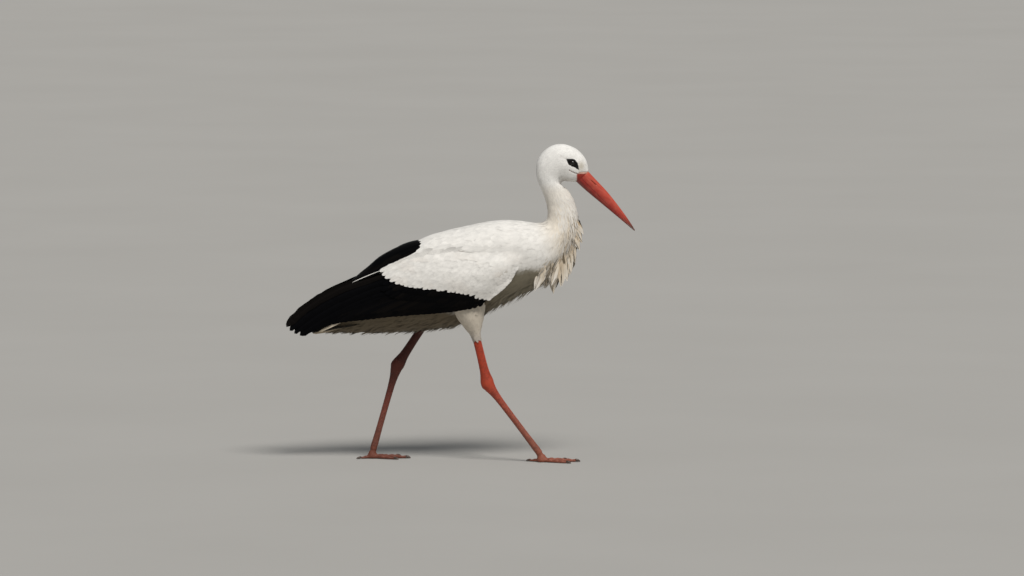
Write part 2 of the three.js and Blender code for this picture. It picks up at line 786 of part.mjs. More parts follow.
for (const [name, leg] of Object.entries(LEGS)) {
  const [knee, ankle, foot] = [leg.knee, leg.ankle, leg.foot].map((p) => new THREE.Vector3(...p));
  const thigh = limb(profileStations(THIGH_PROFILE, knee, ankle), THIGH_SIDES);
  const bareThigh = [bodyRoom, ...outsideWings].reduce((a, b) => a.subtract(b), thigh);
  addNode(`leg_${name}_thigh`, largest(bareThigh), "white");
  const shankStations = profileStations(SHANK_PROFILE, knee, ankle);
  shortenEnd(shankStations.at(-1), shankStations.at(-2));
  const shank = limb(shankStations).subtract(thigh.add(bodyRoom));
  addNode(`leg_${name}_shank`, largest(shank), "red");
  const ankleStations = [
    ...profileStations(ANKLE_PROFILE, knee, ankle),
    ...profileStations(TARSUS_TOP_PROFILE, ankle, foot),
  ];
  addNode(`leg_${name}_ankle`, limb(ankleStations), "red");
  const tarsusStations = profileStations(TARSUS_PROFILE, ankle, foot);
  shortenEnd(tarsusStations[0], tarsusStations[1]);
  const footRoom = footPad(leg, GAP);
  addNode(`leg_${name}_tarsus`, largest(limb(tarsusStations).subtract(footRoom)), "red");
  addNode(`foot_${name}`, footPad(leg), "red");
  for (const spec of TOES) {
    const toeName = `${spec[0]}_${name}`;
    addNode(toeName, largest(toe(leg, spec).subtract(footRoom)), "red");
    addNode(toeName.replace("toe", "claw"), claw(leg, spec), "horn");
  }
}

export default stork;
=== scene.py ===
"""A life-size museum model of a walking white stork: skin, feathers, bill, eyes and legs.

Blender 4.5, metres, +X towards the bill, +Y the bird's left, +Z up, floor at z = 0.
Lengths in the tables are millimetres, and MM turns them into metres.
"""

import math
from collections import namedtuple

import bmesh
import bpy
import numpy as np
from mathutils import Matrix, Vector, kdtree
from mathutils.bvhtree import BVHTree


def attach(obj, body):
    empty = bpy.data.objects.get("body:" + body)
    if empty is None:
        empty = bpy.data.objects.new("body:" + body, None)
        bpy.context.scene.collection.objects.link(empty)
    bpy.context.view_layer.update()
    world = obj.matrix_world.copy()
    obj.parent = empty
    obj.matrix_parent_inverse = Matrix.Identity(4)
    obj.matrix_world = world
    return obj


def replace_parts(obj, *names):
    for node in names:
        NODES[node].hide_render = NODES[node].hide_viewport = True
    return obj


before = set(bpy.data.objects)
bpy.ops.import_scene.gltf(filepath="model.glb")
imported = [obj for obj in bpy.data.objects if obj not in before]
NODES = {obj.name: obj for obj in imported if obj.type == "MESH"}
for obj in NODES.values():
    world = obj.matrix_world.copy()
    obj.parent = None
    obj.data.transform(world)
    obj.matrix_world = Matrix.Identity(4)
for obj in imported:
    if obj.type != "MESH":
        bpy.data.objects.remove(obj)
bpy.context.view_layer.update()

# ---------- Driving dimensions ----------

MM = 0.001
SIDES = {"right": -1, "left": 1}
TOES = ["inner", "middle", "outer", "hind"]
BODY_NODES = ["head", "neck_upper", "neck_lower", "breast", "trunk", "rump"]
LEG_PARTS = ["thigh", "shank", "ankle", "tarsus"]

# Rings of the body from the bill's base to the tail's root: centre x, z, and the ring's tilt in degrees.
BODY_RINGS = [
    (269.5, 626.2, 45),
    (256, 642, 62),
    (232, 655, 84),
    (210, 653, 109),
    (197, 634, 138),
    (202, 611, 165),
    (217, 580, 176),
    (226, 543, 172),
    (218, 502, 148),
    (181, 468, 120),
    (111, 447, 100),
    (-13, 404, 92),
    (-168, 366, 88),
    (-264, 324, 84),
    (-296, 307, 80),
]
# Locks that hang from the foreneck and breast: root x, z, tip x, z, distance from the middle, half width.
LOCKS = [
    (246, 536, 271, 500, 4, 5),
    (247, 524, 269, 480, 6, 7),
    (243, 508, 263, 464, 10, 8),
    (241, 492, 252, 436, 9, 9),
    (236, 478, 243, 410, 12, 10),
    (228, 474, 236, 396, 17, 9),
    (219, 468, 222, 383, 21, 10),
    (212, 462, 199, 386, 30, 14),
    (207, 436, 204, 366, 15, 9),
    (190, 450, 163, 374, 33, 11),
    (181, 454, 181, 396, 36, 9),
    (164, 444, 147, 411, 39, 9),
    (194, 440, 186, 378, 12, 10),
    (229, 444, 226, 392, 8, 9),
]
LOCK_PLUMES = 26  # plumes in each lock
LOCK_MIDDLE = 13  # locks nearer the middle than this face forward
RUFF_RINGS = (5.6, 9.0)  # the stretch of BODY_RINGS that the ruff covers
# Ruff plumes by ring: spacing, length, half width, depth of the root.
RUFF_SPACING = ([5.6, 7, 8], [2.8, 3.4, 4.2])
RUFF_LENGTH = ([5.6, 7, 8.4, 9.6], [18, 34, 52, 44])
RUFF_HALF = ([5.6, 8], [1.5, 2.7])
RUFF_DEPTH = ([5.6, 8], [2.0, 4.5])
# Loose plumes under the belly: rings, spacing, length.
FRINGE_RINGS = (9.4, 13.9)
FRINGE_SPACING = 5.8
FRINGE_LENGTH = 34
RING_STEPS = 14  # rings of the feather layout to each stretch of BODY_RINGS
RING_SIDES = 96
# Feathers along the rings: ring, spacing, length, half width, depth of the coat.
COAT = [
    (0, 1.0, 4, 1.0, 0.6),
    (1, 1.1, 5.5, 1.15, 0.8),
    (2, 1.2, 7, 1.3, 1.0),
    (4, 1.45, 10, 1.6, 1.3),
    (5, 1.7, 14, 1.95, 1.8),
    (6, 2.0, 18, 2.3, 2.6),
    (7, 2.6, 26, 3.0, 3.6),
    (8, 3.4, 36, 4.7, 4.6),
    (9, 4.4, 42, 6.4, 5.5),
    (11, 5.2, 48, 7.4, 6),
    (13, 5.2, 50, 7.2, 5),
    (14, 5, 46, 6.2, 4),
]
COAT_SPACING, COAT_LENGTH, COAT_HALF, COAT_DEPTH = 1, 2, 3, 4  # its columns
# The sheet that body feathers lie on.
SHEET_VOXEL = 3
RAY_REACH = 0.2  # in metres, more than the body's half width
# The skin: its grid, how much the parts grow to run together, and how deep it lies below the outline.
SKIN_VOXEL = 2.2
SKIN_GROW = 1.2
WING_SKIN_DEPTH = 4.5
THIGH_SKIN_DEPTH = 5
BARE_SKIN_DEPTH = 0.5

# Head, on the right side and mirrored to the left. Marks are lines of x, z.
EYE_CENTRE = (247, 20.2, 658.5)
EYE_RADIUS = 6.8
EYE_OPENING = 5.7  # radius of the opening between the lids
LID_TOP = 24.5  # how far out the lids' rim stands
# Bare black patch round the eye, as a closed outline.
EYE_PATCH = [(233.8, 666.6), (240.5, 667.6), (249.5, 667.2), (255.8, 662.5), (258.8, 655), (261, 644.4),
             (259.6, 643.2), (255.5, 646), (250.5, 649.4), (245.5, 651), (240.5, 653), (236.6, 659)]
GAPE = [(262, 632.5), (251, 637), (239.5, 643)]
# The brow's crease, also darkened by painted shade.
BROW = [(233, 667.5), (222, 672)]
GAPE_SKIN = (256.8, 634.5)  # the bare red skin at the mouth lies in front of this x and below this z
GAPE_ROUND = 4  # the round of that skin's corner
GAPE_PALE = 3.0  # the pale skin's height above the red
THROAT_FOLD = (226, 611, 7)  # the fold between chin and neck: x, z, reach
CHIN_RISE = 4.5  # how far the chin is drawn up from the CAD's outline

# Bill: base, pitch, base width, and rows of distance, culmen, tomium, gonys, width share.
BILL_BASE = (270, 0, 625.6)
BILL_PITCH = 45.9
BILL_WIDTH = 24
BILL = [
    (-4, 17.4, -4.0, -17.4, 1.0),
    (25, 16.8, -3.4, -15.6, 0.9),
    (60, 16.2, -2.6, -12.0, 0.74),
    (95, 12.8, -1.8, -8.2, 0.56),
    (125, 8.8, -1.1, -5.0, 0.38),
    (150, 4.4, -0.7, -2.5, 0.2),
    (164, 1.1, -0.4, -1.3, 0.07),
]
NOSTRIL = (17, 33, 8.5)  # from, to, height above the bill's middle line

# Legs: knee, ankle, foot, heading in degrees.
LEGS = {
    "right": ((8, -42, 393), (61, -41, 172), (180, -38, 13), 2),
    "left": ((-11, 42, 401), (-139.5, 41, 205), (-194, 38, 13), -2),
}
CUFF = 0.512  # where the thigh's feathers end, as a share of the way from knee to ankle
CUFF_RADIUS = ([0.41, 0.48, 0.55, 0.6], [13, 8.2, 7.8, 7.8])  # the skin's, by share of that way
# Thigh: share, half depth, half width.
THIGH = [(0, 44, 30), (0.19, 39, 29), (0.32, 29, 25), (0.41, 20, 18.5), (0.495, 11, 11), (0.562, 9, 8)]
# Thigh feathers by share of the thigh: spacing, length, half width, depth of the root, lift of the tip.
THIGH_SPACING = ([0, 0.5, 0.85], [6, 4.2, 2.6])
THIGH_LENGTH = ([0, 0.5, 0.85], [32, 26, 15])
THIGH_HALF = ([0, 0.5, 0.85], [7, 4.8, 2.6])
THIGH_DEPTH = ([0, 0.6, 0.85], [6, 5, 1.5])
THIGH_LIFT = ([0, 0.6, 0.85], [0.5, 1.2, 1.5])
# Bare leg from the thigh to the ankle, then from the ankle to the foot: share, half depth, half width.
SHANK = [(0.5, 9, 7.6), (0.7, 8.8, 7.4), (0.86, 10, 8.6), (0.93, 12.6, 10), (0.97, 15.4, 11.4)]
TARSUS = [(0.05, 12.6, 11), (0.12, 9.2, 8.6), (0.27, 7.2, 6.8), (0.6, 6.6, 6.2), (0.85, 7.2, 7),
          (0.93, 8.2, 8.4)]
# Toes: angle off the heading (outward is positive), length, thickness.
TOE_SHAPES = {
    "inner": (-27, 58, 10.5),
    "middle": (1, 76, 11.5),
    "outer": (31, 64, 10.5),
    "hind": (-152, 30, 9),
}
TOE_TAPER = 0.66
SCUTE_STEP = 2.8  # between the plates along a toe
CLAW_LENGTH = 9
SCALE_ROW = 2.6  # between rows of leg scales
SCALES_ROUND = 16
SCALE_SIZE = 1.75

# Wing in side view, front to back: the white coverts' lower and upper edges, and the wing's lower edge.
COVERT_EDGE = [(59, 361), (46, 362), (34, 366), (22, 372), (-8, 378), (-29, 380), (-62, 384), (-97, 388),
               (-126, 392), (-146, 397), (-160, 405), (-172, 415), (-183, 423)]
COVERT_TOP = [(140, 466), (59, 470), (-22, 467), (-90, 460), (-139, 440), (-183, 423)]
WING_EDGE = [(116, 421), (103, 395), (86, 379), (59, 357), (42, 344), (22, 339), (-22, 335), (-77, 331),
             (-128, 327), (-164, 324), (-222, 317), (-271, 311), (-310, 299), (-344, 280)]
# White coverts by x: spacing, length, half width, slant in degrees.
COVERT_SPACING = ([-150, 40, 130], [5.6, 5.0, 3.8])
COVERT_LENGTH = ([-150, 0, 130], [34, 30, 20])
COVERT_HALF = ([-150, 40, 130], [8, 7, 5])
COVERT_SLANT = ([-150, 0, 90, 130], [24, 24, 34, 46])
EDGE_SLANT = ([-180, -150, -60, 60], [26, 28, 37, 48])  # of the last row, along the black
EDGE_STEP = 10.2  # between that row's tips
SECONDARY_COUNT = 26
SECONDARY_TIPS = (43, -266)  # x of the first and the last
PRIMARY_TIPS = [(-382, 297), (-375, 289), (-365, 283), (-353, 279), (-336, 289), (-317, 299), (-294, 309)]
# Where the scapulars overhang the coverts.
CREASE = [(86, 464), (18, 466), (-16, 470), (-72, 462), (-98, 454)]
# Sheets of the wing and the back: steps of their grids, and where they lie.
WING_GRID = 4
WING_SPAN = ((148, -400), (256, 508))  # x and z
WING_RAY = (-0.3, 0.35)  # in metres, where rays start at the bird's right and how far they reach
BACK_GRID = 4
BACK_SPAN = (60, -384)  # x
# Rows of black scapulars and tertials: x of the roots and of the tips, spread, half width.
SCAPULAR_ROWS = [
    (-215, -312, 2.5, 9),
    (-188, -292, 3.5, 10),
    (-162, -270, 5, 10),
    (-72, -138, 11, 8),
    (-85, -170, 11, 10),
    (-100, -200, 11, 10),
    (-118, -228, 10, 10),
    (-140, -252, 9, 9),
]
# The underside in side view.
BELLY_LINE = [(214, 410), (174, 384), (126, 364), (81, 341), (37, 315), (-9, 297), (-62, 289),
              (-172, 283), (-304, 287)]
# Heights over that line by x: of the full darkening, and of the first clean feathers. The darkening is partly
# dirt and partly painted shade under the belly and up along the wing's front edge.
BELLY_DARK_FULL = ([-60, 10, 100, 150, 180], [42, 18, 50, 46, 32])
BELLY_CLEAN_START = ([-60, 10, 90, 118, 150, 180], [70, 50, 84, 76, 62, 48])
TAIL_COUNT = 12
TAIL_ENDS = (-160, -340)  # x of the tail sheet's ends
TAIL_TIP = -330  # x of the middle pair's tips
# By distance behind the origin, the height of the tail's upper face and its half width.
TAIL_PLACES = [160, 220, 270, 312, 340]
TAIL_HEIGHT = [324, 311, 300, 291, 286]
TAIL_HALF = [26, 33, 39, 44, 46]

# Colours, linear.
WHITE = (0.83, 0.805, 0.76)
HEAD_WHITE = (0.91, 0.89, 0.85)
STAIN = (0.74, 0.66, 0.58)
CREAM = (0.73, 0.635, 0.50)
BUFF = (0.50, 0.375, 0.24)
# The next two are dirt and painted shade: brown under the belly, darker towards the tail. The first also
# darkens the tail's pale edge.
DIRT_AND_SHADE_BROWN = (0.205, 0.175, 0.112)
BELLY_DIRT_AND_SHADE = (0.098, 0.069, 0.029)
SHADOW_BROWN = (0.17, 0.125, 0.085)
# Painted shade on the plumes that hang behind the locks.
UNDER_SHADE_BROWN = (0.11, 0.088, 0.055)
BLACK = (0.0012, 0.0012, 0.0015)
BROWN_BLACK = (0.0035, 0.0028, 0.0024)
PATCH_BLACK = (0.003, 0.0025, 0.0025)
LEG_RED = (0.46, 0.055, 0.022)
LEG_BROWN = (0.24, 0.10, 0.065)
# Painted shade on the far, trailing leg.
LEG_SHADE = (0.055, 0.019, 0.013)
GAPE_GREY = (0.20, 0.14, 0.12)
GAPE_RED = (0.36, 0.040, 0.026)
CERE_PINK = (0.78, 0.47, 0.37)
# Painted shade on the lores.
LORE_SHADE = (0.56, 0.50, 0.40)

# Camera: the photograph's framing.
LENS = 300
SENSOR = 36
VIEW_DISTANCE = 18.773
VIEW_ELEVATION = 5
VIEW_TARGET = (0.1144, 0, 0.381)

# Light: a soft sun in front of the bird's right side, and a pale, even sky.
SUN_STRENGTH = 2.7
SUN_ANGLE = 24
SUN_COLOUR = (1.0, 0.975, 0.94)
SUN_FROM = (0.26, -0.66, 1.0)
SKY_COLOUR = (0.90, 0.95, 1.0, 1)
SKY_STRENGTH = 0.23


# ---------- Small helpers ----------

def smooth(low, high, x):
    """0 below low, 1 above high, and a soft step between."""
    t = np.clip((x - low) / (high - low), 0, 1)
    return t * t * (3 - 2 * t)


def mix(a, b, share):
    """Blends two colours by an array of shares."""
    share = np.asarray(share)[..., None]
    return np.asarray(a) * (1 - share) + np.asarray(b) * share


def table(rows, x, column=1):
    """Reads a column of a table against its first column, straight between the rows."""
    return np.interp(x, [row[0] for row in rows], [row[column] for row in rows])


def spline(rows, t):
    """Rows read at fractional places by a Catmull-Rom spline."""
    rows = np.array(rows, float)
    last = len(rows) - 1
    t = np.clip(np.asarray(t, float), 0, last)
    i = np.minimum(t.astype(int), last - 1)
    f = (t - i)[..., None]
    before = rows[np.maximum(i - 1, 0)]
    here = rows[i]
    there = rows[i + 1]
    after = rows[np.minimum(i + 2, last)]
    line = here * 2 + (there - before) * f
    bend = (before * 2 - here * 5 + there * 4 - after) * f**2
    return (line + bend + (here * 3 - before - there * 3 + after) * f**3) / 2


def unit(v):
    """Vectors brought to length 1."""
    return v / np.maximum(np.linalg.norm(v, axis=-1, keepdims=True), 1e-12)


def dot(a, b):
    """Dot products along the last axis."""
    return np.sum(a * b, axis=-1)


def in_mm(points):
    """Places in millimetres, as arrays of x, y and z."""
    return np.moveaxis(points, -1, 0) / MM


def on_right(points):
    """Places in millimetres with the left side mirrored to the right: x, distance from the middle, z."""
    x, y, z = in_mm(points)
    return x, np.abs(y), z


def edge_at(line, x):
    """A side-view line's height at x."""
    return np.interp(-np.asarray(x, float), [-p[0] for p in line], [p[1] for p in line])


def near_line(x, z, line):
    """Distance in the side view from points to a line of (x, z)."""
    best = np.full(np.shape(x), 1e9)
    for (x0, z0), (x1, z1) in zip(line, line[1:]):
        length = math.hypot(x1 - x0, z1 - z0)
        share = np.clip(((x - x0) * (x1 - x0) + (z - z0) * (z1 - z0)) / length**2, 0, 1)
        gap = np.hypot(x - x0 - share * (x1 - x0), z - z0 - share * (z1 - z0))
        best = np.minimum(best, gap)
    return best


def add_mesh(name, points, faces, top=None):
    """A mesh object riding on the body. Faces that aren't in top are shaded flat."""
    mesh = bpy.data.meshes.new(name)
    faces = np.asarray(faces, np.int32)
    count, corners = faces.shape
    mesh.vertices.add(len(points))
    mesh.vertices.foreach_set("co", np.asarray(points, np.float32).ravel())
    mesh.loops.add(count * corners)
    mesh.loops.foreach_set("vertex_index", faces.ravel())
    mesh.polygons.add(count)
    mesh.polygons.foreach_set("loop_start", np.arange(count, dtype=np.int32) * corners)
    smooth_faces = np.ones(count, bool) if top is None else top
    mesh.polygons.foreach_set("use_smooth", smooth_faces)
    mesh.update(calc_edges=True)
    mesh.validate()
    piece = bpy.data.objects.new(name, mesh)
    bpy.context.scene.collection.objects.link(piece)
    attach(piece, "root")
    return piece


def add_uv(piece, name, uv):
    """A UV map given by a place for each vertex."""
    corners = mesh_corners(piece.data)
    layer = piece.data.uv_layers.new(name=name)
    layer.uv.foreach_set("vector", uv[corners].astype(np.float32).ravel())


def add_tint(piece, colours):
    """The colour of each vertex, kept in an attribute."""
    layer = piece.data.color_attributes.new("tint", "FLOAT_COLOR", "POINT")
    rgba = np.ones((len(colours), 4), np.float32)
    rgba[:, :3] = np.clip(colours, 0, 1)
    layer.data.foreach_set("color", rgba.ravel())


def read_vectors(values, key, count):
    """Vectors read from a mesh's list of values."""
    found = np.zeros(count * 3, np.float32)
    values.foreach_get(key, found)
    return found.reshape(-1, 3)


def mesh_points(mesh):
    """A mesh's vertices."""
    return read_vectors(mesh.vertices, "co", len(mesh.vertices)).astype(float)


def vertex_normals(mesh):
    """A mesh's normals at its vertices."""
    return read_vectors(mesh.vertex_normals, "vector", len(mesh.vertices)).astype(float)


def mesh_corners(mesh):
    """The vertex at each of a mesh's face corners."""
    corners = np.zeros(len(mesh.loops), np.int32)
    mesh.loops.foreach_get("vertex_index", corners)
    return corners


# ---------- Materials ----------

class Nodes:
    """A material's node tree, with short ways to add to it."""

    def __init__(self, name):
        self.material = bpy.data.materials.new(name)
        self.material.use_nodes = True
        self.tree = self.material.node_tree
        self.shader = self.tree.nodes["Principled BSDF"]

    def add(self, kind, inputs=(), **settings):
        """A new node with its inputs and settings."""
        node = self.tree.nodes.new(kind)
        for key, value in settings.items():
            setattr(node, key, value)
        for key, value in dict(inputs).items():
            self.set(node.inputs[key], value)
        return node

    def set(self, socket, value):
        """Gives an input a value, or a link from another node's output."""
        if isinstance(value, bpy.types.NodeSocket):
            self.tree.links.new(value, socket)
        else:
            socket.default_value = value

    def position(self):
        """The place in space."""
        return self.add("ShaderNodeNewGeometry").outputs["Position"]

    def tint(self):
        """The colour that the piece carries."""
        return self.add("ShaderNodeAttribute", attribute_name="tint").outputs["Color"]

    def math(self, operation, a, b=0.0):
        """Arithmetic on one or two values."""
        return self.add("ShaderNodeMath", {0: a, 1: b}, operation=operation).outputs[0]

    def noise(self, vector, scale, detail=3.0):
        """A noise between 0 and 1."""
        inputs = {"Vector": vector, "Scale": scale, "Detail": detail}
        return self.add("ShaderNodeTexNoise", inputs).outputs["Fac"]

    def ramp(self, value, low, high, out_low=0.0, out_high=1.0):
        """A value brought from one range to another, and held there."""
        inputs = {"Value": value, "From Min": low, "From Max": high, "To Min": out_low, "To Max": out_high}
        return self.add("ShaderNodeMapRange", inputs).outputs["Result"]

    def scaled(self, colour, factor):
        """A colour times a grey factor."""
        grey = self.add("ShaderNodeCombineColor", {0: factor, 1: factor, 2: factor}).outputs[0]
        return self.blend(1.0, colour, grey, "MULTIPLY")

    def blend(self, factor, a, b, blend_type="MIX"):
        """Two colours blended by a factor."""
        node = self.add("ShaderNodeMix", data_type="RGBA", blend_type=blend_type)
        self.set(node.inputs["Factor"], factor)
        self.set(node.inputs["A"], (*a, 1) if isinstance(a, tuple) else a)
        self.set(node.inputs["B"], (*b, 1) if isinstance(b, tuple) else b)
        return node.outputs["Result"]

    def bump(self, height, strength, distance):
        """A normal bent by a height."""
        inputs = {"Height": height, "Strength": strength, "Distance": distance}
        return self.add("ShaderNodeBump", inputs).outputs["Normal"]

    def finish(self, **sockets):
        """Sets the shader's inputs and returns the material."""
        for key, value in sockets.items():
            self.set(self.shader.inputs[key.replace("_", " ")], value)
        return self.material


def feather_material(name, roughness, barb_light, sheen, specular):
    """Barbs slanting off the shaft of each vane, over the tint that the vane carries."""
    n = Nodes(name)
    place = n.add("ShaderNodeUVMap", uv_map="vane").outputs["UV"]
    across, along, _ = n.add("ShaderNodeSeparateXYZ", {0: place}).outputs
    off_shaft = n.math("ABSOLUTE", n.math("SUBTRACT", across, 0.5))
    slant = n.math("SUBTRACT", n.math("MULTIPLY", along, 2.0), off_shaft)
    barbs = n.math("SINE", n.math("MULTIPLY", slant, 95.0))
    cloud = n.noise(n.position(), 90.0)
    soft = n.ramp(cloud, 0.3, 0.7, 0.93, 1.04)
    shaft = n.ramp(off_shaft, 0.012, 0.035, 1.06, 1.0)
    lined = n.math("MULTIPLY", n.ramp(barbs, -1.0, 1.0, 1.0 - barb_light, 1.0 + barb_light), shaft)
    light = n.math("MULTIPLY", lined, soft)
    height = n.math("ADD", n.math("MULTIPLY", barbs, 0.35), cloud)
    rough = n.ramp(cloud, 0.25, 0.75, roughness - 0.06, roughness + 0.06)
    return n.finish(Base_Color=n.scaled(n.tint(), light), Roughness=rough, Sheen_Weight=sheen,
                    Specular_IOR_Level=specular, Normal=n.bump(height, 0.1, 0.0005))


def skin_material():
    """Pimpled skin under the coat, and scaly where it is marked as bare."""
    n = Nodes("skin_finish")
    bare = n.add("ShaderNodeAttribute", attribute_name="bare").outputs["Fac"]
    position = n.position()
    pimples = n.noise(position, 260.0, 2.0)
    cells = n.add("ShaderNodeTexVoronoi", {"Vector": position, "Scale": 330.0}, feature="DISTANCE_TO_EDGE")
    scales = n.ramp(cells.outputs["Distance"], 0.0, 0.16)
    height = n.add("ShaderNodeMix", {0: bare, 2: pimples, 3: scales}).outputs[0]
    light = n.ramp(pimples, 0.3, 0.7, 0.88, 1.06)
    rough = n.ramp(pimples, 0.3, 0.7, 0.46, 0.62)
    return n.finish(Base_Color=n.scaled(n.tint(), light), Roughness=rough, Specular_IOR_Level=0.25,
                    Normal=n.bump(height, 0.35, 0.0008))


def scale_material():
    """Leg scales: dull horn with worn, dusty crowns."""
    n = Nodes("leg_scale_finish")
    position = n.position()
    dust = n.noise(position, 140.0, 5.0)
    grain = n.noise(position, 900.0, 2.0)
    light = n.math("MULTIPLY", n.ramp(dust, 0.3, 0.7, 0.82, 1.12), n.ramp(grain, 0.2, 0.8, 0.93, 1.07))
    rough = n.ramp(dust, 0.3, 0.7, 0.42, 0.6)
    return n.finish(Base_Color=n.scaled(n.tint(), light), Roughness=rough, Specular_IOR_Level=0.45,
                    Normal=n.bump(grain, 0.25, 0.0003))


def bill_place(n):
    """The place on the bill: distance from its base, and height above its middle line, in metres."""
    inputs = {"Vector": n.position(), "Location": tuple(-v * MM for v in BILL_BASE)}
    moved = n.add("ShaderNodeMapping", inputs, vector_type="POINT").outputs[0]
    turned = n.add("ShaderNodeMapping", {"Vector": moved, "Rotation": (0, -math.radians(BILL_PITCH), 0)})
    return turned.outputs[0]


def bill_material():
    """Orange-red horn: paler and pink where it meets the face, a painted highlight along the top and painted
    shade below, dusky at the tip.
    """
    n = Nodes("bill_finish")
    place = bill_place(n)
    distance, _, height = n.add("ShaderNodeSeparateXYZ", {0: place}).outputs
    stretched = n.add("ShaderNodeMapping", {"Vector": place, "Scale": (0.12, 1.0, 1.0)}).outputs[0]
    streaks = n.noise(stretched, 620.0, 4.0)
    mottle = n.noise(place, 85.0, 3.0)
    # Painted highlight and shade: brighter towards the top of the bill, darker towards the bottom.
    upper = n.blend(n.ramp(height, -0.004, 0.012), (0.30, 0.022, 0.015), (0.53, 0.078, 0.046))
    worn = n.blend(n.ramp(mottle, 0.45, 0.75, 0.0, 0.35), upper, (0.50, 0.14, 0.09))
    # Painted shade along the lower mandible's underside.
    below = n.blend(n.ramp(height, -0.016, -0.006, 0.55, 0.0), worn, (0.10, 0.018, 0.012))
    dusk = n.math("ADD", distance, n.math("MULTIPLY", mottle, 0.02))
    tip = n.blend(n.ramp(dusk, 0.134, 0.168, 0.0, 0.85), below, (0.085, 0.050, 0.036))
    root_edge = n.math("ADD", n.ramp(distance, 0.0, 0.003, 0.6, 0.0), n.ramp(height, 0.004, 0.014, -0.6, 0.0))
    pale = n.blend(n.math("MAXIMUM", root_edge, 0.0), tip, (0.56, 0.22, 0.15))
    slit_along = n.ramp(n.math("ABSOLUTE", n.math("SUBTRACT", distance, 0.025)), 0.004, 0.008, 1.0, 0.0)
    slit_off = n.ramp(n.math("ABSOLUTE", n.math("SUBTRACT", height, 0.0088)), 0.0001, 0.0006, 0.6, 0.0)
    base = n.blend(n.math("MULTIPLY", slit_along, slit_off), pale, (0.03, 0.008, 0.006))
    light = n.ramp(streaks, 0.3, 0.7, 0.86, 1.12)
    rough = n.ramp(streaks, 0.3, 0.7, 0.26, 0.42)
    return n.finish(Base_Color=n.scaled(base, light), Roughness=rough, Normal=n.bump(streaks, 0.12, 0.0003))


def claw_material():
    """Dark horn with a paler grain."""
    n = Nodes("claw_finish")
    grain = n.noise(n.position(), 520.0, 4.0)
    colour = n.blend(n.ramp(grain, 0.35, 0.7), (0.035, 0.022, 0.017), (0.12, 0.075, 0.055))
    rough = n.ramp(grain, 0.3, 0.7, 0.3, 0.5)
    return n.finish(Base_Color=colour, Roughness=rough, Normal=n.bump(grain, 0.2, 0.0003))


def eye_material():
    """Dark brown iris round a black pupil, by the distance from the eye's axis."""
    n = Nodes("eye_finish")
    axis = (-EYE_CENTRE[0] * MM, 0, -EYE_CENTRE[2] * MM)
    centre = n.add("ShaderNodeVectorMath", {0: n.position(), 1: axis}, operation="ADD").outputs[0]
    x, _, z = n.add("ShaderNodeSeparateXYZ", {0: centre}).outputs
    radius = n.math("SQRT", n.math("ADD", n.math("MULTIPLY", x, x), n.math("MULTIPLY", z, z)))
    rays = n.noise(centre, 1500.0, 4.0)
    iris = n.blend(rays, (0.005, 0.0025, 0.0015), (0.016, 0.008, 0.0045))
    pupil = n.blend(n.ramp(radius, 0.0026, 0.0032), (0.001, 0.001, 0.001), iris)
    rim = n.blend(n.ramp(radius, 0.0048, 0.0056), pupil, (0.004, 0.003, 0.003))
    rough = n.ramp(rays, 0.2, 0.8, 0.03, 0.06)
    return n.finish(Base_Color=rim, Roughness=rough, Specular_IOR_Level=0.3,
                    Coat_Weight=0.4, Coat_Roughness=0.02)


def floor_material():
    """A plain, pale grey."""
    n = Nodes("floor_finish")
    cloud = n.noise(n.position(), 1.3, 4.0)
    colour = n.blend(cloud, (0.42, 0.408, 0.385), (0.46, 0.448, 0.425))
    return n.finish(Base_Color=colour, Roughness=0.9, Specular_IOR_Level=0.1)


# ---------- Sheets that feathers are laid on ----------

LEAST_STEP = 0.42  # of a ring's step forwards, below which a place counts as pinched
FILL_ROUNDS = 400


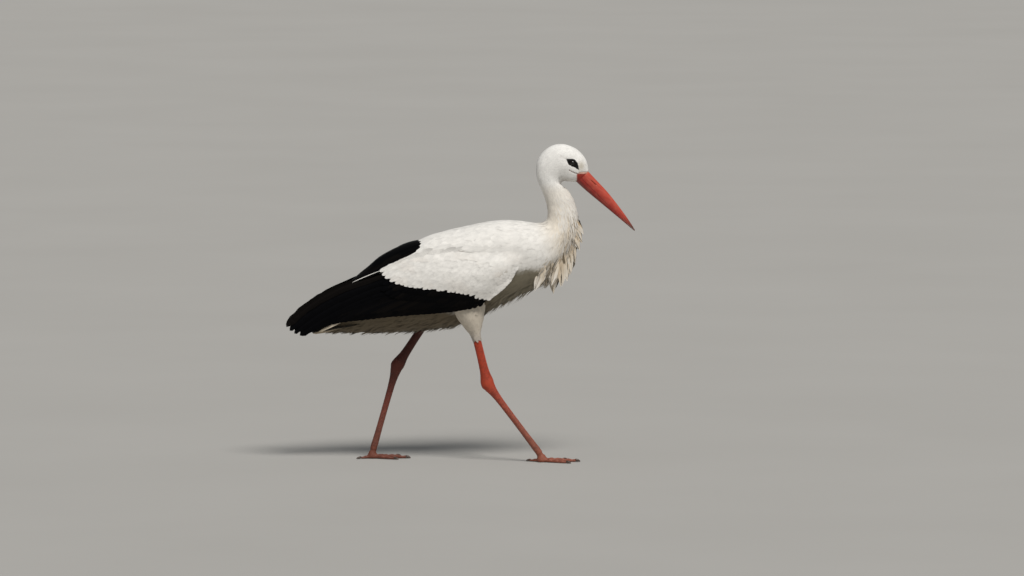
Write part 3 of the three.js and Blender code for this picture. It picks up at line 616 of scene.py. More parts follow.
class Sheet:
    """A surface known by a grid of points. A place on it is (s, a), counted in grid steps."""

    def __init__(self, points, closed, centres):
        """A sheet whose outer face looks away from the centres. A closed one runs round in a."""
        self.closed = closed
        self.rows, self.columns = points.shape[:2]
        along = np.gradient(points, axis=0)
        if closed:
            around = (np.roll(points, -1, axis=1) - np.roll(points, 1, axis=1)) / 2
        else:
            around = np.gradient(points, axis=1)
        normal = unit(np.cross(along, around))
        outward = np.sign(np.mean(dot(normal, points - centres)))
        self.points = points
        self.area = np.linalg.norm(np.cross(along, around), axis=-1)
        self.fields = np.concatenate([points, along, around, normal * outward], axis=-1)

    def at(self, s, a):
        """Point, step along s, step along a, and outward normal at places on the sheet."""
        s = np.asarray(s, float)
        a = np.asarray(a, float)
        s_in = np.clip(s, 0, self.rows - 1.001)
        a_in = np.mod(a, self.columns) if self.closed else np.clip(a, 0, self.columns - 1.001)
        i = np.floor(s_in).astype(int)
        j = np.floor(a_in).astype(int) % self.columns
        next_j = (j + 1) % self.columns
        fs = (s_in - i)[..., None]
        fa = (a_in - np.floor(a_in))[..., None]
        grid = self.fields
        near = grid[i, j] * (1 - fa) + grid[i, next_j] * fa
        far = grid[i + 1, j] * (1 - fa) + grid[i + 1, next_j] * fa
        found = near * (1 - fs) + far * fs
        point, along, around, normal = np.split(found, 4, axis=-1)
        point = point + along * (s - s_in)[..., None]
        if not self.closed:
            point = point + around * (a - a_in)[..., None]
        return point, along, around, unit(normal)

    def pinched(self, s, a):
        """Which places lie where the rings crowd together or cross, in a concave corner."""
        _, along, _, _ = self.at(s, a)
        middle = self.points.mean(axis=1)
        forward = np.gradient(middle, axis=0)[np.clip(np.round(s).astype(int), 0, self.rows - 1)]
        return dot(along, unit(forward)) < LEAST_STEP * np.linalg.norm(forward, axis=-1)

    def nearest(self, x, z, side):
        """The place on one side of the sheet nearest to a point given in side-view millimetres."""
        point = self.points / MM
        gap = np.hypot(point[..., 0] - x, point[..., 2] - z) + 1e3 * (point[..., 1] * side <= 0)
        return np.unravel_index(gap.argmin(), gap.shape)

    def moved(self, s, a, vector):
        """The place reached from (s, a) by a small move in space along the sheet."""
        _, u, v, _ = self.at(s, a)
        uu, uv, vv = dot(u, u), dot(u, v), dot(v, v)
        bu, bv = dot(vector, u), dot(vector, v)
        spread = uu * vv - uv * uv + 1e-16
        return s + (vv * bu - uv * bv) / spread, a + (uu * bv - uv * bu) / spread


def filled(grid):
    """Fills the missing points of a grid from their neighbours."""
    known = ~np.isnan(grid)
    values = np.where(known, grid, 0)
    weight = known.astype(float)
    for _ in range(FILL_ROUNDS):
        total = np.zeros_like(values)
        count = np.zeros_like(weight)
        for axis in (0, 1):
            for shift in (1, -1):
                total += np.roll(values * weight, shift, axis)
                count += np.roll(weight, shift, axis)
        fresh = (weight == 0) & (count > 0)
        values = np.where(fresh, total / np.maximum(count, 1), values)
        weight = np.where(fresh, 1.0, weight)
        if weight.all():
            break
    return values


def blurred(grid, rounds, closed):
    """Softens a grid of points, leaving its end rows in place."""
    for _ in range(rounds):
        inner = (grid[:-2] + grid[2:] + 2 * grid[1:-1]) / 4
        grid = np.concatenate([grid[:1], inner, grid[-1:]])
        if closed:
            grid = (np.roll(grid, 1, 1) + np.roll(grid, -1, 1) + 2 * grid) / 4
        else:
            middle = (grid[:, :-2] + grid[:, 2:] + 2 * grid[:, 1:-1]) / 4
            grid = np.concatenate([grid[:, :1], middle, grid[:, -1:]], axis=1)
    return grid


def node_arrays(names, grow=0):
    """The points and faces of the named nodes together, grown outwards by some millimetres."""
    points, faces = [], []
    for name in names:
        mesh = NODES[name].data
        offset = sum(map(len, points))
        points.append(mesh_points(mesh) + vertex_normals(mesh) * grow * MM)
        faces += [tuple(i + offset for i in polygon.vertices) for polygon in mesh.polygons]
    return np.concatenate(points), faces


def merged_mesh(names, grow, voxel):
    """One closed mesh round the named nodes, made a little larger so that they run together."""
    mesh = bpy.data.meshes.new("merged")
    points, faces = node_arrays(names, grow)
    mesh.from_pydata(points.tolist(), [], faces)
    holder = bpy.data.objects.new("merged", mesh)
    bpy.context.scene.collection.objects.link(holder)
    remesh = holder.modifiers.new("remesh", "REMESH")
    remesh.mode = "VOXEL"
    remesh.voxel_size = voxel * MM
    remesh.use_smooth_shade = True
    graph = bpy.context.evaluated_depsgraph_get()
    result = bpy.data.meshes.new_from_object(holder.evaluated_get(graph))
    bpy.data.objects.remove(holder)
    bpy.data.meshes.remove(mesh)
    return largest_part(result)


def largest_part(mesh):
    """The mesh without the loose bits that lie inside it."""
    edges = np.zeros(len(mesh.edges) * 2, np.int32)
    mesh.edges.foreach_get("vertices", edges)
    edges = edges.reshape(-1, 2)
    label = np.arange(len(mesh.vertices))
    while True:
        low = np.minimum(label[edges[:, 0]], label[edges[:, 1]])
        fresh = label.copy()
        np.minimum.at(fresh, edges[:, 0], low)
        np.minimum.at(fresh, edges[:, 1], low)
        fresh = fresh[fresh]
        if np.array_equal(fresh, label):
            break
        label = fresh
    keep = label == np.bincount(label).argmax()
    quads = mesh_corners(mesh).reshape(-1, 4)
    quads = quads[keep[quads[:, 0]]]
    number = np.cumsum(keep) - 1
    return mesh_points(mesh)[keep], number[quads]


def tree_of(names):
    """A search tree over the named nodes' faces."""
    points, faces = node_arrays(names)
    return BVHTree.FromPolygons(points.tolist(), faces)


def face_relief(points):
    """How far the face stands out or in at each point, in millimetres: lids, cheek, brow and gape."""
    x, y, z = on_right(points)
    on_side = smooth(7, 15, y) * (z > 600) * (x > 190)
    radius = np.hypot(x - EYE_CENTRE[0], z - EYE_CENTRE[2])
    to_lid = np.maximum(LID_TOP - y, 0) * np.exp(-(np.maximum(radius - EYE_OPENING, 0) / 3.4) ** 2)
    cheek = 1.1 * np.exp(-((x - 230) ** 2 + (z - 648) ** 2) / 11**2)
    brow = 0.7 * np.exp(-((near_line(x, z, BROW) / 3.6) ** 2))
    gape = 0.7 * np.exp(-((near_line(x, z, GAPE) / 1.2) ** 2))
    return on_side * (to_lid * (radius > 3) + (cheek - brow - gape) * smooth(0, 4, radius - EYE_OPENING))


def face_raised(points):
    """The points with the face's relief."""
    raised = points.copy()
    raised[..., 1] += np.sign(points[..., 1]) * face_relief(points) * MM
    return raised


def chin_rise(point):
    """How far the chin's coat is drawn up from the outline, in metres."""
    x, _, z = in_mm(point)
    return CHIN_RISE * MM * np.exp(-((x - 245) ** 2 / 17**2 + (z - 612) ** 2 / 8**2)) * (z > 590)


def body_sheet(names, grow):
    """Rings round the named nodes, from the bill's base to the tail's root. There a counts from the back."""
    points, faces = merged_mesh(names, grow, SHEET_VOXEL)
    tree = BVHTree.FromPolygons(points.tolist(), faces.tolist())
    count = (len(BODY_RINGS) - 1) * RING_STEPS + 1
    rings = spline(BODY_RINGS, np.linspace(0, len(BODY_RINGS) - 1, count))
    grid = np.full((count, RING_SIDES, 3), np.nan)
    centres = np.zeros((count, RING_SIDES, 3))
    for i, (x, z, tilt) in enumerate(rings):
        centre = Vector((x, 0, z)) * MM
        up = Vector((math.cos(math.radians(tilt)), 0, math.sin(math.radians(tilt))))
        centres[i] = centre
        for j in range(RING_SIDES):
            angle = 2 * math.pi * j / RING_SIDES
            out = up * math.cos(angle) + Vector((0, -math.sin(angle), 0))
            hit = tree.ray_cast(centre, out, RAY_REACH)[0]
            if hit:
                grid[i, j] = hit
    grid = face_raised(blurred(filled(grid), 3, True))
    grid[..., 2] += chin_rise(grid)
    return Sheet(grid, True, centres)


def wing_sheet(side):
    """The folded wing's outer face as a grid in side view: s counts from the front, a upwards."""
    tree = tree_of([f"wing_right_{part}" for part in ("coverts", "secondaries", "primaries")])
    xs = np.arange(*WING_SPAN[0], -WING_GRID)
    zs = np.arange(*WING_SPAN[1], WING_GRID)
    depth = np.full((len(xs), len(zs)), np.nan)
    start, reach = WING_RAY
    for i, x in enumerate(xs):
        for j, z in enumerate(zs):
            hit = tree.ray_cast(Vector((x * MM, start, z * MM)), Vector((0, 1, 0)), reach)[0]
            if hit:
                depth[i, j] = -hit.y
    depth = filled(depth)
    grid = np.stack(np.broadcast_arrays(xs[:, None] * MM, side * depth, zs[None, :] * MM), axis=-1)
    grid = blurred(grid, 2, False)
    return Sheet(grid, False, grid * (1, 0, 1))


def wing_place(x, z):
    """A place on the wing sheet from side-view millimetres."""
    (front, _), (low, _) = WING_SPAN
    return (front - np.asarray(x, float)) / WING_GRID, (np.asarray(z, float) - low) / WING_GRID


# ---------- Feathers ----------

RISE = 2.4  # how quickly a vane rises from its root to the coat's outline
FACE_MARGIN = 0.2  # between the first feathers and the bare face
MOST_REACH = 1.15  # of a feather's length, from its root to its tip
MOST_STRETCH = 1.12  # how much longer than its spine a vane may be
PATCH = 0.003  # a feather's patch on the bake map, at its root's place on the skin's unwrap
# Outlines of vanes: share along, share of the half width.
CONTOUR = [(0, 0.2), (0.12, 0.45), (0.3, 0.78), (0.5, 0.97), (0.68, 1.0), (0.84, 0.82), (0.94, 0.5), (1, 0.1)]
LANCE = [(0, 0.3), (0.15, 0.7), (0.35, 1.0), (0.55, 0.9), (0.75, 0.6), (0.9, 0.28), (1, 0.03)]
SOFT = [(0, 0.4), (0.2, 0.8), (0.45, 1.0), (0.7, 0.86), (0.88, 0.5), (1, 0.04)]
FLIGHT = [(0, 0.35), (0.2, 0.85), (0.5, 1.0), (0.8, 0.98), (0.92, 0.78), (0.98, 0.4), (1, 0.1)]
SCUTE = [(0, 0.8), (0.3, 1.0), (0.8, 1.0), (1, 0.75)]

# What a tint is made from: the sheet, the spines' places on it, each vane corner's share along and its
# width across, and the random draws.
Vanes = namedtuple("Vanes", "sheet s a share width rng")


def vane_pattern(stations, across):
    """A closed vane: each corner's station along and width across, its triangles, and which are on top."""
    rows = [np.arange(across) + 1 + across * i for i in range(stations)]
    tip = 1 + across * stations
    station = np.concatenate([[0], np.repeat(np.arange(stations) + 1, across), [stations + 1]])
    width = np.concatenate([[0], np.tile(np.linspace(-1, 1, across), stations), [0]])
    top, below = [], []
    for j in range(across - 1):
        top.append((0, rows[0][j], rows[0][j + 1]))
        top.append((rows[-1][j], tip, rows[-1][j + 1]))
    for near, far in zip(rows, rows[1:]):
        for j in range(across - 1):
            top.append((near[j], far[j], far[j + 1]))
            top.append((near[j], far[j + 1], near[j + 1]))
        below.append((near[-1], far[-1], far[0]))
        below.append((near[-1], far[0], near[0]))
    below.append((0, rows[0][-1], rows[0][0]))
    below.append((rows[-1][-1], tip, rows[-1][0]))
    faces = np.array(top + below)
    return station, width, faces, np.arange(len(faces)) < len(top)


def station_shares(count):
    """Shares of a vane's length at its stations, closer together towards the tip."""
    return 1 - (1 - np.linspace(0, 1, count)) ** 1.5


def spines(sheet, s, a, direction, length, stations, bend):
    """Places along each feather's shaft, stepping over the sheet. bend turns it towards its left."""
    spine_s, spine_a = [s], [a]
    heading = direction
    for step in np.diff(station_shares(stations)):
        normal = sheet.at(s, a)[3]
        heading = unit(heading - normal * dot(heading, normal)[..., None])
        s, a = sheet.moved(s, a, heading * (length * step)[..., None])
        spine_s.append(s)
        spine_a.append(a)
        heading = unit(heading + np.cross(normal, heading) * (bend * step)[..., None])
    return np.stack(spine_s, 1), np.stack(spine_a, 1)


def straight_spines(start, end, stations):
    """Spines straight across a sheet, from starts to ends given as rows of (s, a)."""
    share = station_shares(stations)[None]
    return tuple(start[:, i:i + 1] * (1 - share) + end[:, i:i + 1] * share for i in (0, 1))


def vane_points(sheet, spine, shape, outline, station, width, rng):
    """The corners of the vanes along the spines, and the normals of the surface that they lie on."""
    spine_s, spine_a = spine
    count, stations = spine_s.shape
    shares = station_shares(stations)
    share = shares[station]
    half, depth, lift, roll = (np.broadcast_to(shape.get(key, 0.0), count)[:, None]
                               for key in ("half", "depth", "lift", "roll"))
    ahead = sheet.at(spine_s, spine_a)[0]
    if "droop" in shape:
        ahead = ahead + shape["droop"][:, None] * (shares ** 2)[:, None]
    if "bulge" in shape:
        ahead = ahead + shape["bulge"][:, None] * np.sin(np.pi * shares ** 1.4)[:, None]
    heading = unit(np.gradient(ahead, axis=1))[:, station]
    s, a = spine_s[:, station], spine_a[:, station]
    normal = sheet.at(s, a)[3]
    if "face" in shape:
        normal = np.broadcast_to(shape["face"][:, None], normal.shape)
    left = unit(np.cross(normal, heading))
    ragged = shape.get("ragged", 0.08) * (0.5 + share) * (np.abs(width) > 0.9)
    fringe = 1 + ragged * rng.standard_normal((count, len(station)))
    wide = table(outline, share)
    offset = half * wide * width * fringe
    if "face" in shape:
        point = ahead[:, station] + left * offset[..., None]
    else:
        point, _, _, normal = sheet.at(*sheet.moved(s, a, left * offset[..., None]))
    height = -depth * (1 - share) ** RISE + lift * share
    height = height + shape.get("camber", 0.0) * half * wide * (1 - width**2)
    height = height + roll * offset
    height = height + shape.get("ridge", 0) * MM * (width == 0) * (share < 0.97)
    point = point + normal * height[..., None]
    if "droop" in shape and "face" not in shape:
        point = point + shape["droop"][:, None] * (share**2)[:, None]
    return point, normal


def lay_feathers(name, sheet, spine, shape, tint, look, across=3, outline=CONTOUR, seed=0):
    """Vanes along the spines. look is their material and a slot name, which is not used.

    shape holds half (width), depth (of the root) and lift (of the tip), and may hold camber, roll, ridge,
    ragged, soft (shading like the sheet's), droop (how the tip is moved), bulge (how the middle is moved),
    reach (the spine's length, which a vane may not outgrow by much) and face (the way that free-hanging
    vanes face, while the others lie on the sheet).
    """
    material, slot = look
    station, width, faces, top = vane_pattern(spine[0].shape[1] - 2, across)
    rng = np.random.default_rng(seed)
    point, normal = vane_points(sheet, spine, shape, outline, station, width, rng)
    if "reach" in shape:
        away = np.linalg.norm(point - point[:, :1], axis=-1).max(axis=1)
        sound = away < MOST_STRETCH * shape["reach"] + shape["half"]
        point, normal = point[sound], normal[sound]
        spine = tuple(part[sound] for part in spine)
    count = len(point)
    base = np.arange(count)[:, None, None] * len(station)
    piece = add_mesh(name, point.reshape(-1, 3), (faces[None] + base).reshape(-1, 3), np.tile(top, count))
    soften(piece, normal.reshape(-1, 3), np.tile(top, count), shape.get("soft", 0.75))
    share = station_shares(spine[0].shape[1])[station]
    vane = np.stack(np.broadcast_arrays(width * 0.5 + 0.5, share), -1)
    add_uv(piece, "OFBake", bake_places(spine[0][:, 0], spine[1][:, 0], width, share))
    add_uv(piece, "vane", np.tile(vane, (count, 1)))
    add_tint(piece, tint(Vanes(sheet, *spine, share, width, rng)).reshape(-1, 3))
    piece.data.materials.append(material)
    return piece


def soften(piece, outward, top, share):
    """Turns the shading of the vanes' upper faces towards the normals of the surface they lie on."""
    mesh = piece.data
    corners = mesh_corners(mesh)
    own = read_vectors(mesh.corner_normals, "vector", len(corners))
    upper = np.repeat(top, 3)[:, None] * share
    mesh.normals_split_custom_set(unit(own * (1 - upper) + outward[corners] * upper))


def bake_places(s, a, width, share):
    """The bake map: each feather's root on the unwrapped sheet, stretched to fill the square."""
    low_s, low_a = s.min(), a.min()
    span_s, span_a = max(np.ptp(s), 1e-6), max(np.ptp(a), 1e-6)
    u = PATCH + (1 - 3 * PATCH) * (s - low_s) / span_s
    v = PATCH + (1 - 3 * PATCH) * (a - low_a) / span_a
    u = u[:, None] + PATCH * width / 2
    v = v[:, None] + PATCH * (share - 0.5)
    return np.stack([u, v], -1).reshape(-1, 2)


def scatter(sheet, candidates, spacing, wanted, seed):
    """Evenly spread random places: spacing and wanted take (point, s, a) and give arrays."""
    rng = np.random.default_rng(seed)
    point = sheet.points.reshape(-1, 3)
    s, a = np.divmod(np.arange(len(point)), sheet.columns)
    weight = sheet.area.ravel() / spacing(point, s, a) ** 2 * wanted(point, s, a)
    chosen = rng.choice(len(point), candidates, p=weight / weight.sum())
    s = np.clip(s[chosen] + rng.random(candidates) - 0.5, 0, sheet.rows - 1.01)
    a = a[chosen] + rng.random(candidates) - 0.5
    point = sheet.at(s, a)[0]
    gap = spacing(point, s, a)
    tree = kdtree.KDTree(candidates)
    for i, co in enumerate(point):
        tree.insert(co, i)
    tree.balance()
    free = wanted(point, s, a).astype(bool)
    kept = []
    for i in range(candidates):
        if not free[i]:
            continue
        kept.append(i)
        for _, j, _ in tree.find_range(point[i], gap[i]):
            free[j] = False
    kept = np.array(kept)
    return s[kept], a[kept]


# ---------- Markings ----------

def eye_patch_reach(x, z):
    """How far a side-view point lies outside the bare patch round the eye, negative inside."""
    closed = EYE_PATCH + EYE_PATCH[:1]
    outline = spline(closed, np.linspace(0, len(EYE_PATCH), 4 * len(EYE_PATCH) + 1))
    inside = np.zeros(np.shape(x), bool)
    for (x0, z0), (x1, z1) in zip(outline, outline[1:]):
        crossing = x0 + (x1 - x0) * (z - z0) / (z1 - z0 + 1e-12)
        inside ^= ((z0 > z) != (z1 > z)) & (x < crossing)
    gap = near_line(x, z, outline)
    return np.where(inside, -gap, gap)


def rounded_corner(right, down):
    """How far a point lies inside the rounded corner of the mouth's skin."""
    return GAPE_ROUND - np.hypot(np.maximum(GAPE_ROUND - right, 0), np.maximum(GAPE_ROUND - down, 0))


def gape_skin_depth(x, z):
    """How far a side-view point lies inside the bare corner of the mouth and the pale skin above it."""
    return rounded_corner(x - GAPE_SKIN[0], GAPE_SKIN[1] + GAPE_PALE * smooth(259, 264, x) - z)


def plumage_tint(point):
    """The white plumage's colour at a place: cream on the neck, buff on the ruff, and dirt with painted shade
    under the belly.
    """
    x, y, z = in_mm(point)
    colour = mix(WHITE, HEAD_WHITE, smooth(560, 620, z))
    patchy = np.sin(x / 17 + 1.3 * np.sin(z / 23)) * np.sin(z / 13 + 0.7 * np.sin(x / 31) + y / 40)
    colour = mix(colour, STAIN, 0.3 * smooth(-0.4, 1, patchy) * (1 - smooth(430, 480, z)))
    neck = smooth(480, 540, z) * (1 - smooth(590, 620, z)) * smooth(150, 205, x)
    colour = mix(colour, CREAM, 0.35 * neck)
    front = smooth(170, 250, x + 0.25 * (z - 480)) * (1 - smooth(500, 590, z)) * smooth(330, 380, z)
    colour = mix(colour, CREAM, 0.85 * front)
    # Dirt and painted shade under the belly, reaching up along the wing's front edge, darkest towards the
    # tail.
    height = z - edge_at(BELLY_LINE, x)
    low = 1 - smooth(np.interp(x, *BELLY_DARK_FULL), np.interp(x, *BELLY_CLEAN_START), height)
    stain_and_shade = mix(BELLY_DIRT_AND_SHADE, DIRT_AND_SHADE_BROWN, smooth(40, 110, x))
    return mix(colour, stain_and_shade, 0.94 * low * (1 - smooth(212, 226, x)))


def head_marks(point, colour):
    """Adds painted shade on the lores, under the chin and along the brow, the gape and the mouth's bare skin
    to the head's colour.
    """
    x, y, z = on_right(point)
    on_head = (z > 600) & (x > 190)
    on_side = on_head & (y > 6)
    # Painted shade: a soft dark patch on the lores, and another under the chin.
    lore_shade = np.exp(-((x - 266.5) ** 2 + ((z - 651) / 1.4) ** 2) / 7.5**2)
    chin = np.exp(-((x - 233) ** 2 + (z - 615) ** 2) / 10**2)
    colour = mix(colour, LORE_SHADE, 0.8 * lore_shade * on_side)
    colour = mix(colour, SHADOW_BROWN, 0.38 * chin * on_head)
    colour = mix(colour, GAPE_GREY, 0.95 * (1 - smooth(0.6, 1.6, near_line(x, z, GAPE))) * on_side)
    # Painted shade along the brow's crease.
    colour = mix(colour, SHADOW_BROWN, 0.12 * (1 - smooth(0.8, 4, near_line(x, z, BROW))) * on_side)
    colour = mix(colour, CERE_PINK, smooth(-1.5, 0.3, gape_skin_depth(x, z)) * on_head)
    red = rounded_corner(x - GAPE_SKIN[0], GAPE_SKIN[1] - z)
    return mix(colour, GAPE_RED, smooth(-0.4, 0.6, red) * on_head)


def leg_tint(point):
    """Red legs, browner towards the feet. The trailing leg on the far side is darkened by painted shade, most
    near its top.
    """
    _, y, z = in_mm(point)
    colour = mix(LEG_RED, LEG_BROWN, 0.8 * (1 - smooth(30, 225, z)))
    return mix(colour, LEG_SHADE, (y > 0) * (0.5 + 0.4 * smooth(90, 190, z)))


def on_bare_face(points, margin):
    """Which points lie on the bare patch round an eye or the bare corner of the mouth."""
    x, y, z = on_right(points)
    patch = (eye_patch_reach(x, z) < margin) & (y > 8)
    return (patch | (gape_skin_depth(x, z) > -margin)) & (z > 600) & (x > 225)


def body_tint(vanes):
    """Tint of body feathers: roots darker and tips paler as painted shade where the feathers overlap, and a
    little change from one to the next.
    """
    root = vanes.sheet.at(vanes.s, vanes.a)[0]
    station = np.searchsorted(station_shares(vanes.s.shape[1]), vanes.share - 1e-9)
    colour = head_marks(root, plumage_tint(root))[:, station]
    each = vanes.rng.normal(1, 0.035, (len(root), 1))
    # Painted shade: darker towards the root.
    light = (0.94 + 0.09 * vanes.share) * each
    return colour * light[..., None]


def ruff_tint(vanes):
    """Tint of the ruff: like the coat at its edges, cream and buff in its middle, with painted shade on
    roots, between plumes and towards its bottom.
    """
    share, rng = vanes.share, vanes.rng
    ring, front = ring_of(vanes.s[:, 0]), front_share(vanes.sheet, vanes.a[:, 0])
    root = vanes.sheet.at(vanes.s[:, 0], vanes.a[:, 0])[0]
    core = (1 - smooth(0.34, 0.68, front)) * smooth(6.2, 7.8, ring)
    low = 1 - smooth(415, 535, root[:, 2] / MM - 0.15 * (root[:, 0] / MM - 200))
    warm = np.clip(0.25 + 0.45 * low + rng.normal(0, 0.3, len(root)), 0, 1) * core
    base = mix(mix(WHITE, CREAM, 0.3 + 0.3 * core), BUFF, warm)[:, None]
    tip = mix(WHITE, CREAM, np.clip(0.2 + warm, 0, 1))[:, None]
    colour = mix(base, tip, smooth(0.2, 0.75, share)[None])
    # Painted shade along the plumes' edges.
    edge = 1 - 0.2 * core[:, None] * (np.abs(vanes.width) ** 2 * (share < 0.95))[None]
    streak = smooth(0.35, 1, rng.random(len(root)))
    # Painted shade on the roots of some plumes, more towards the bottom.
    shade = (1 - 0.7 * smooth(0.3, 1, share))[None] * (core * streak * (0.2 + 0.4 * low))[:, None]
    # Painted shade: some plumes darker, most towards the bottom.
    light = 1 - 0.5 * core * (0.1 + 0.9 * low) * rng.random(len(root)) ** 1.5
    return mix(colour, SHADOW_BROWN, shade) * edge[..., None] * light[:, None, None]


def lock_tint(vanes):
    """Tint of the hanging locks: roots and edges darkened by painted shade, buff middles and pale tips."""
    count, share = len(vanes.s), vanes.share
    warm = np.clip(vanes.rng.normal(0.4, 0.35, count), 0, 1)
    middle = mix(CREAM, BUFF, warm)[:, None]
    tip = mix(WHITE, CREAM, np.clip(0.3 + warm, 0, 1))[:, None]
    colour = mix(middle, tip, smooth(0.35, 0.85, share)[None])
    # Painted shade on the roots and edges.
    shade = 0.5 * (1 - smooth(0.05, 0.5, share)) + 0.12 * (vanes.width**2) * (share < 0.95)
    return mix(colour, SHADOW_BROWN, np.broadcast_to(shade, (count, len(share))))


def thigh_tint(vanes):
    """Tint of the thighs' feathers: cream, browner towards the bare leg, with painted shade on the roots and
    the thigh's lower part.
    """
    each = vanes.rng.normal(1, 0.04, (len(vanes.s), 1))
    z = vanes.sheet.at(vanes.s[:, 0], vanes.a[:, 0])[0][:, 2] / MM
    colour = mix(mix(WHITE, CREAM, 0.8), STAIN, 1 - smooth(270, 310, z))
    # Painted shade: darker at the roots and towards the thigh's bottom.
    light = (0.72 + 0.2 * vanes.share) * (0.68 + 0.32 * smooth(265, 320, z))[:, None] * each
    return colour[:, None] * light[..., None]


def black_tint(vanes):
    """Tint of black feathers, a few of them browner, with a paler shaft and painted shade towards the root.
    """
    brown = np.clip(vanes.rng.normal(0.15, 0.35, len(vanes.s)), 0, 1)
    colour = mix(BLACK, BROWN_BLACK, brown)[:, None]
    # Painted shade: darker towards the root.
    return colour * (1 + 0.6 * (vanes.width == 0) + 0.25 * vanes.share)[None, :, None]


def white_tint(vanes):
    """Tint of the wing's and tail's white feathers, with painted shade on the vanes' roots and edges."""
    root = vanes.sheet.at(vanes.s[:, :1], vanes.a[:, :1])[0].copy()
    # The wing's lower front takes part of the belly's dirt and painted shade, read from a place lifted up to
    # 43 mm.
    root[..., 2] += 43 * MM * smooth(-100, -20, root[..., 0] / MM)
    each = vanes.rng.normal(1, 0.03, (len(root), 1))
    # Painted shade: the vanes are darker at their roots and edges, where their neighbours overlap them.
    light = (0.84 + 0.18 * vanes.share) * (1 - 0.06 * np.abs(vanes.width)) * each
    return plumage_tint(root) * light[..., None]


def pale_tint(vanes):
    """Tint of the two pale lines: the wing's is white, the tail's is darkened by dirt and painted shade and
    palest in its middle.
    """
    line = np.broadcast_to(WHITE, (len(vanes.share), 3))
    stripe = mix(DIRT_AND_SHADE_BROWN, CREAM, 0.8 * np.sin(np.pi * vanes.share))
    return np.stack([line, stripe])


def crease_shade_tint(vanes):
    """Painted shade along the crease's line, strongest in its middle."""
    return mix(WHITE, SHADOW_BROWN, 0.8 * np.sin(np.pi * vanes.share))[None]


def scute_tint(vanes):
    """Tint of the toes' plates: the leg's colour, a little different on each, darker at the root as painted
    shade under the plate before.
    """
    root = vanes.sheet.at(vanes.s[:, :1], vanes.a[:, :1])[0]
    each = vanes.rng.normal(1, 0.08, (len(root), 1))
    # Painted shade: darker towards the root.
    light = (0.9 + 0.2 * vanes.share) * each
    return leg_tint(root) * light[..., None]


# ---------- Skin ----------

def leg_share(points, side, reach):
    """Shares of the way from a leg's knee to its ankle, distances from that line, and which points are near.

    The near ones lie on the leg's own side of the bird and within reach millimetres of the line.
    """
    knee, ankle = (np.array(p, float) * MM for p in LEGS[side][:2])
    along = ankle - knee
    share = dot(points - knee, along) / np.dot(along, along)
    off = np.linalg.norm(points - knee - share[..., None] * along, axis=-1)
    return share, off, (points[..., 1] * SIDES[side] > 0) * (off < reach * MM)


def bareness(points):
    """1 on the bare legs and feet, 0 under the coat."""
    bare = np.zeros(points.shape[:-1])
    for side in SIDES:
        share, _, near = leg_share(points, side, 40)
        bare = np.maximum(bare, smooth(CUFF - 0.03, CUFF, share) * near)
    return np.maximum(bare, points[..., 2] < 150 * MM)


def coat_depth(points):
    """How deep the skin lies under the outline, in millimetres."""
    x, y, z = in_mm(points)
    places = np.linspace(0, len(BODY_RINGS) - 1, 140)
    centres = spline(BODY_RINGS, places)
    gap = np.hypot(x[:, None] - centres[:, 0], z[:, None] - centres[:, 1])
    depth = table(COAT, places[gap.argmin(axis=1)], COAT_DEPTH)
    thigh, narrow = np.zeros(len(points)), np.zeros(len(points))
    for side in SIDES:
        share, _, near = leg_share(points, side, 60)
        thigh = np.maximum(thigh, near * smooth(0.2, 0.35, share))
        share, off, near = leg_share(points, side, 40)
        near = near * smooth(0.4, 0.44, share) * (share < 0.6)
        narrow = np.maximum(narrow, near * (off / MM - np.interp(share, *CUFF_RADIUS)))
    taper = np.interp(z, [280, 330], [1.2, THIGH_SKIN_DEPTH])
    depth = depth * (1 - thigh) + taper * thigh
    depth = np.where((np.abs(y) > 60) & (z > 340), WING_SKIN_DEPTH, depth)
    bare = bareness(points)
    return np.maximum(depth * (1 - bare) + BARE_SKIN_DEPTH * bare, narrow) + chin_rise(points) / MM


def relaxed(points, faces, rounds):
    """Evens out a mesh's points."""
    edges = np.concatenate([faces[:, [i, (i + 1) % 4]] for i in range(4)])
    count = np.bincount(edges[:, 0], minlength=len(points))[:, None]
    for _ in range(rounds):
        total = np.zeros_like(points)
        for axis in range(3):
            total[:, axis] = np.bincount(edges[:, 0], points[edges[:, 1], axis], len(points))
        points = points * 0.5 + total / count * 0.5
    return points


def refined(points, faces):
    """Splits the faces near the eyes into finer ones. All faces come back as triangles."""
    mesh = bpy.data.meshes.new("refined")
    mesh.from_pydata(points.tolist(), [], faces.tolist())
    form = bmesh.new()
    form.from_mesh(mesh)
    for reach in (26, 19, 14):
        edges = []
        for edge in form.edges:
            middle = (edge.verts[0].co + edge.verts[1].co) / 2
            eye_place = Vector((EYE_CENTRE[0], math.copysign(EYE_CENTRE[1], middle.y), EYE_CENTRE[2])) * MM
            if (middle - eye_place).length < reach * MM:
                edges.append(edge)
        bmesh.ops.subdivide_edges(form, edges=edges, cuts=1, use_grid_fill=True)
    bmesh.ops.triangulate(form, faces=form.faces)
    form.to_mesh(mesh)
    form.free()
    points, corners = mesh_points(mesh), mesh_corners(mesh)
    bpy.data.meshes.remove(mesh)
    return points, corners.reshape(-1, 3)


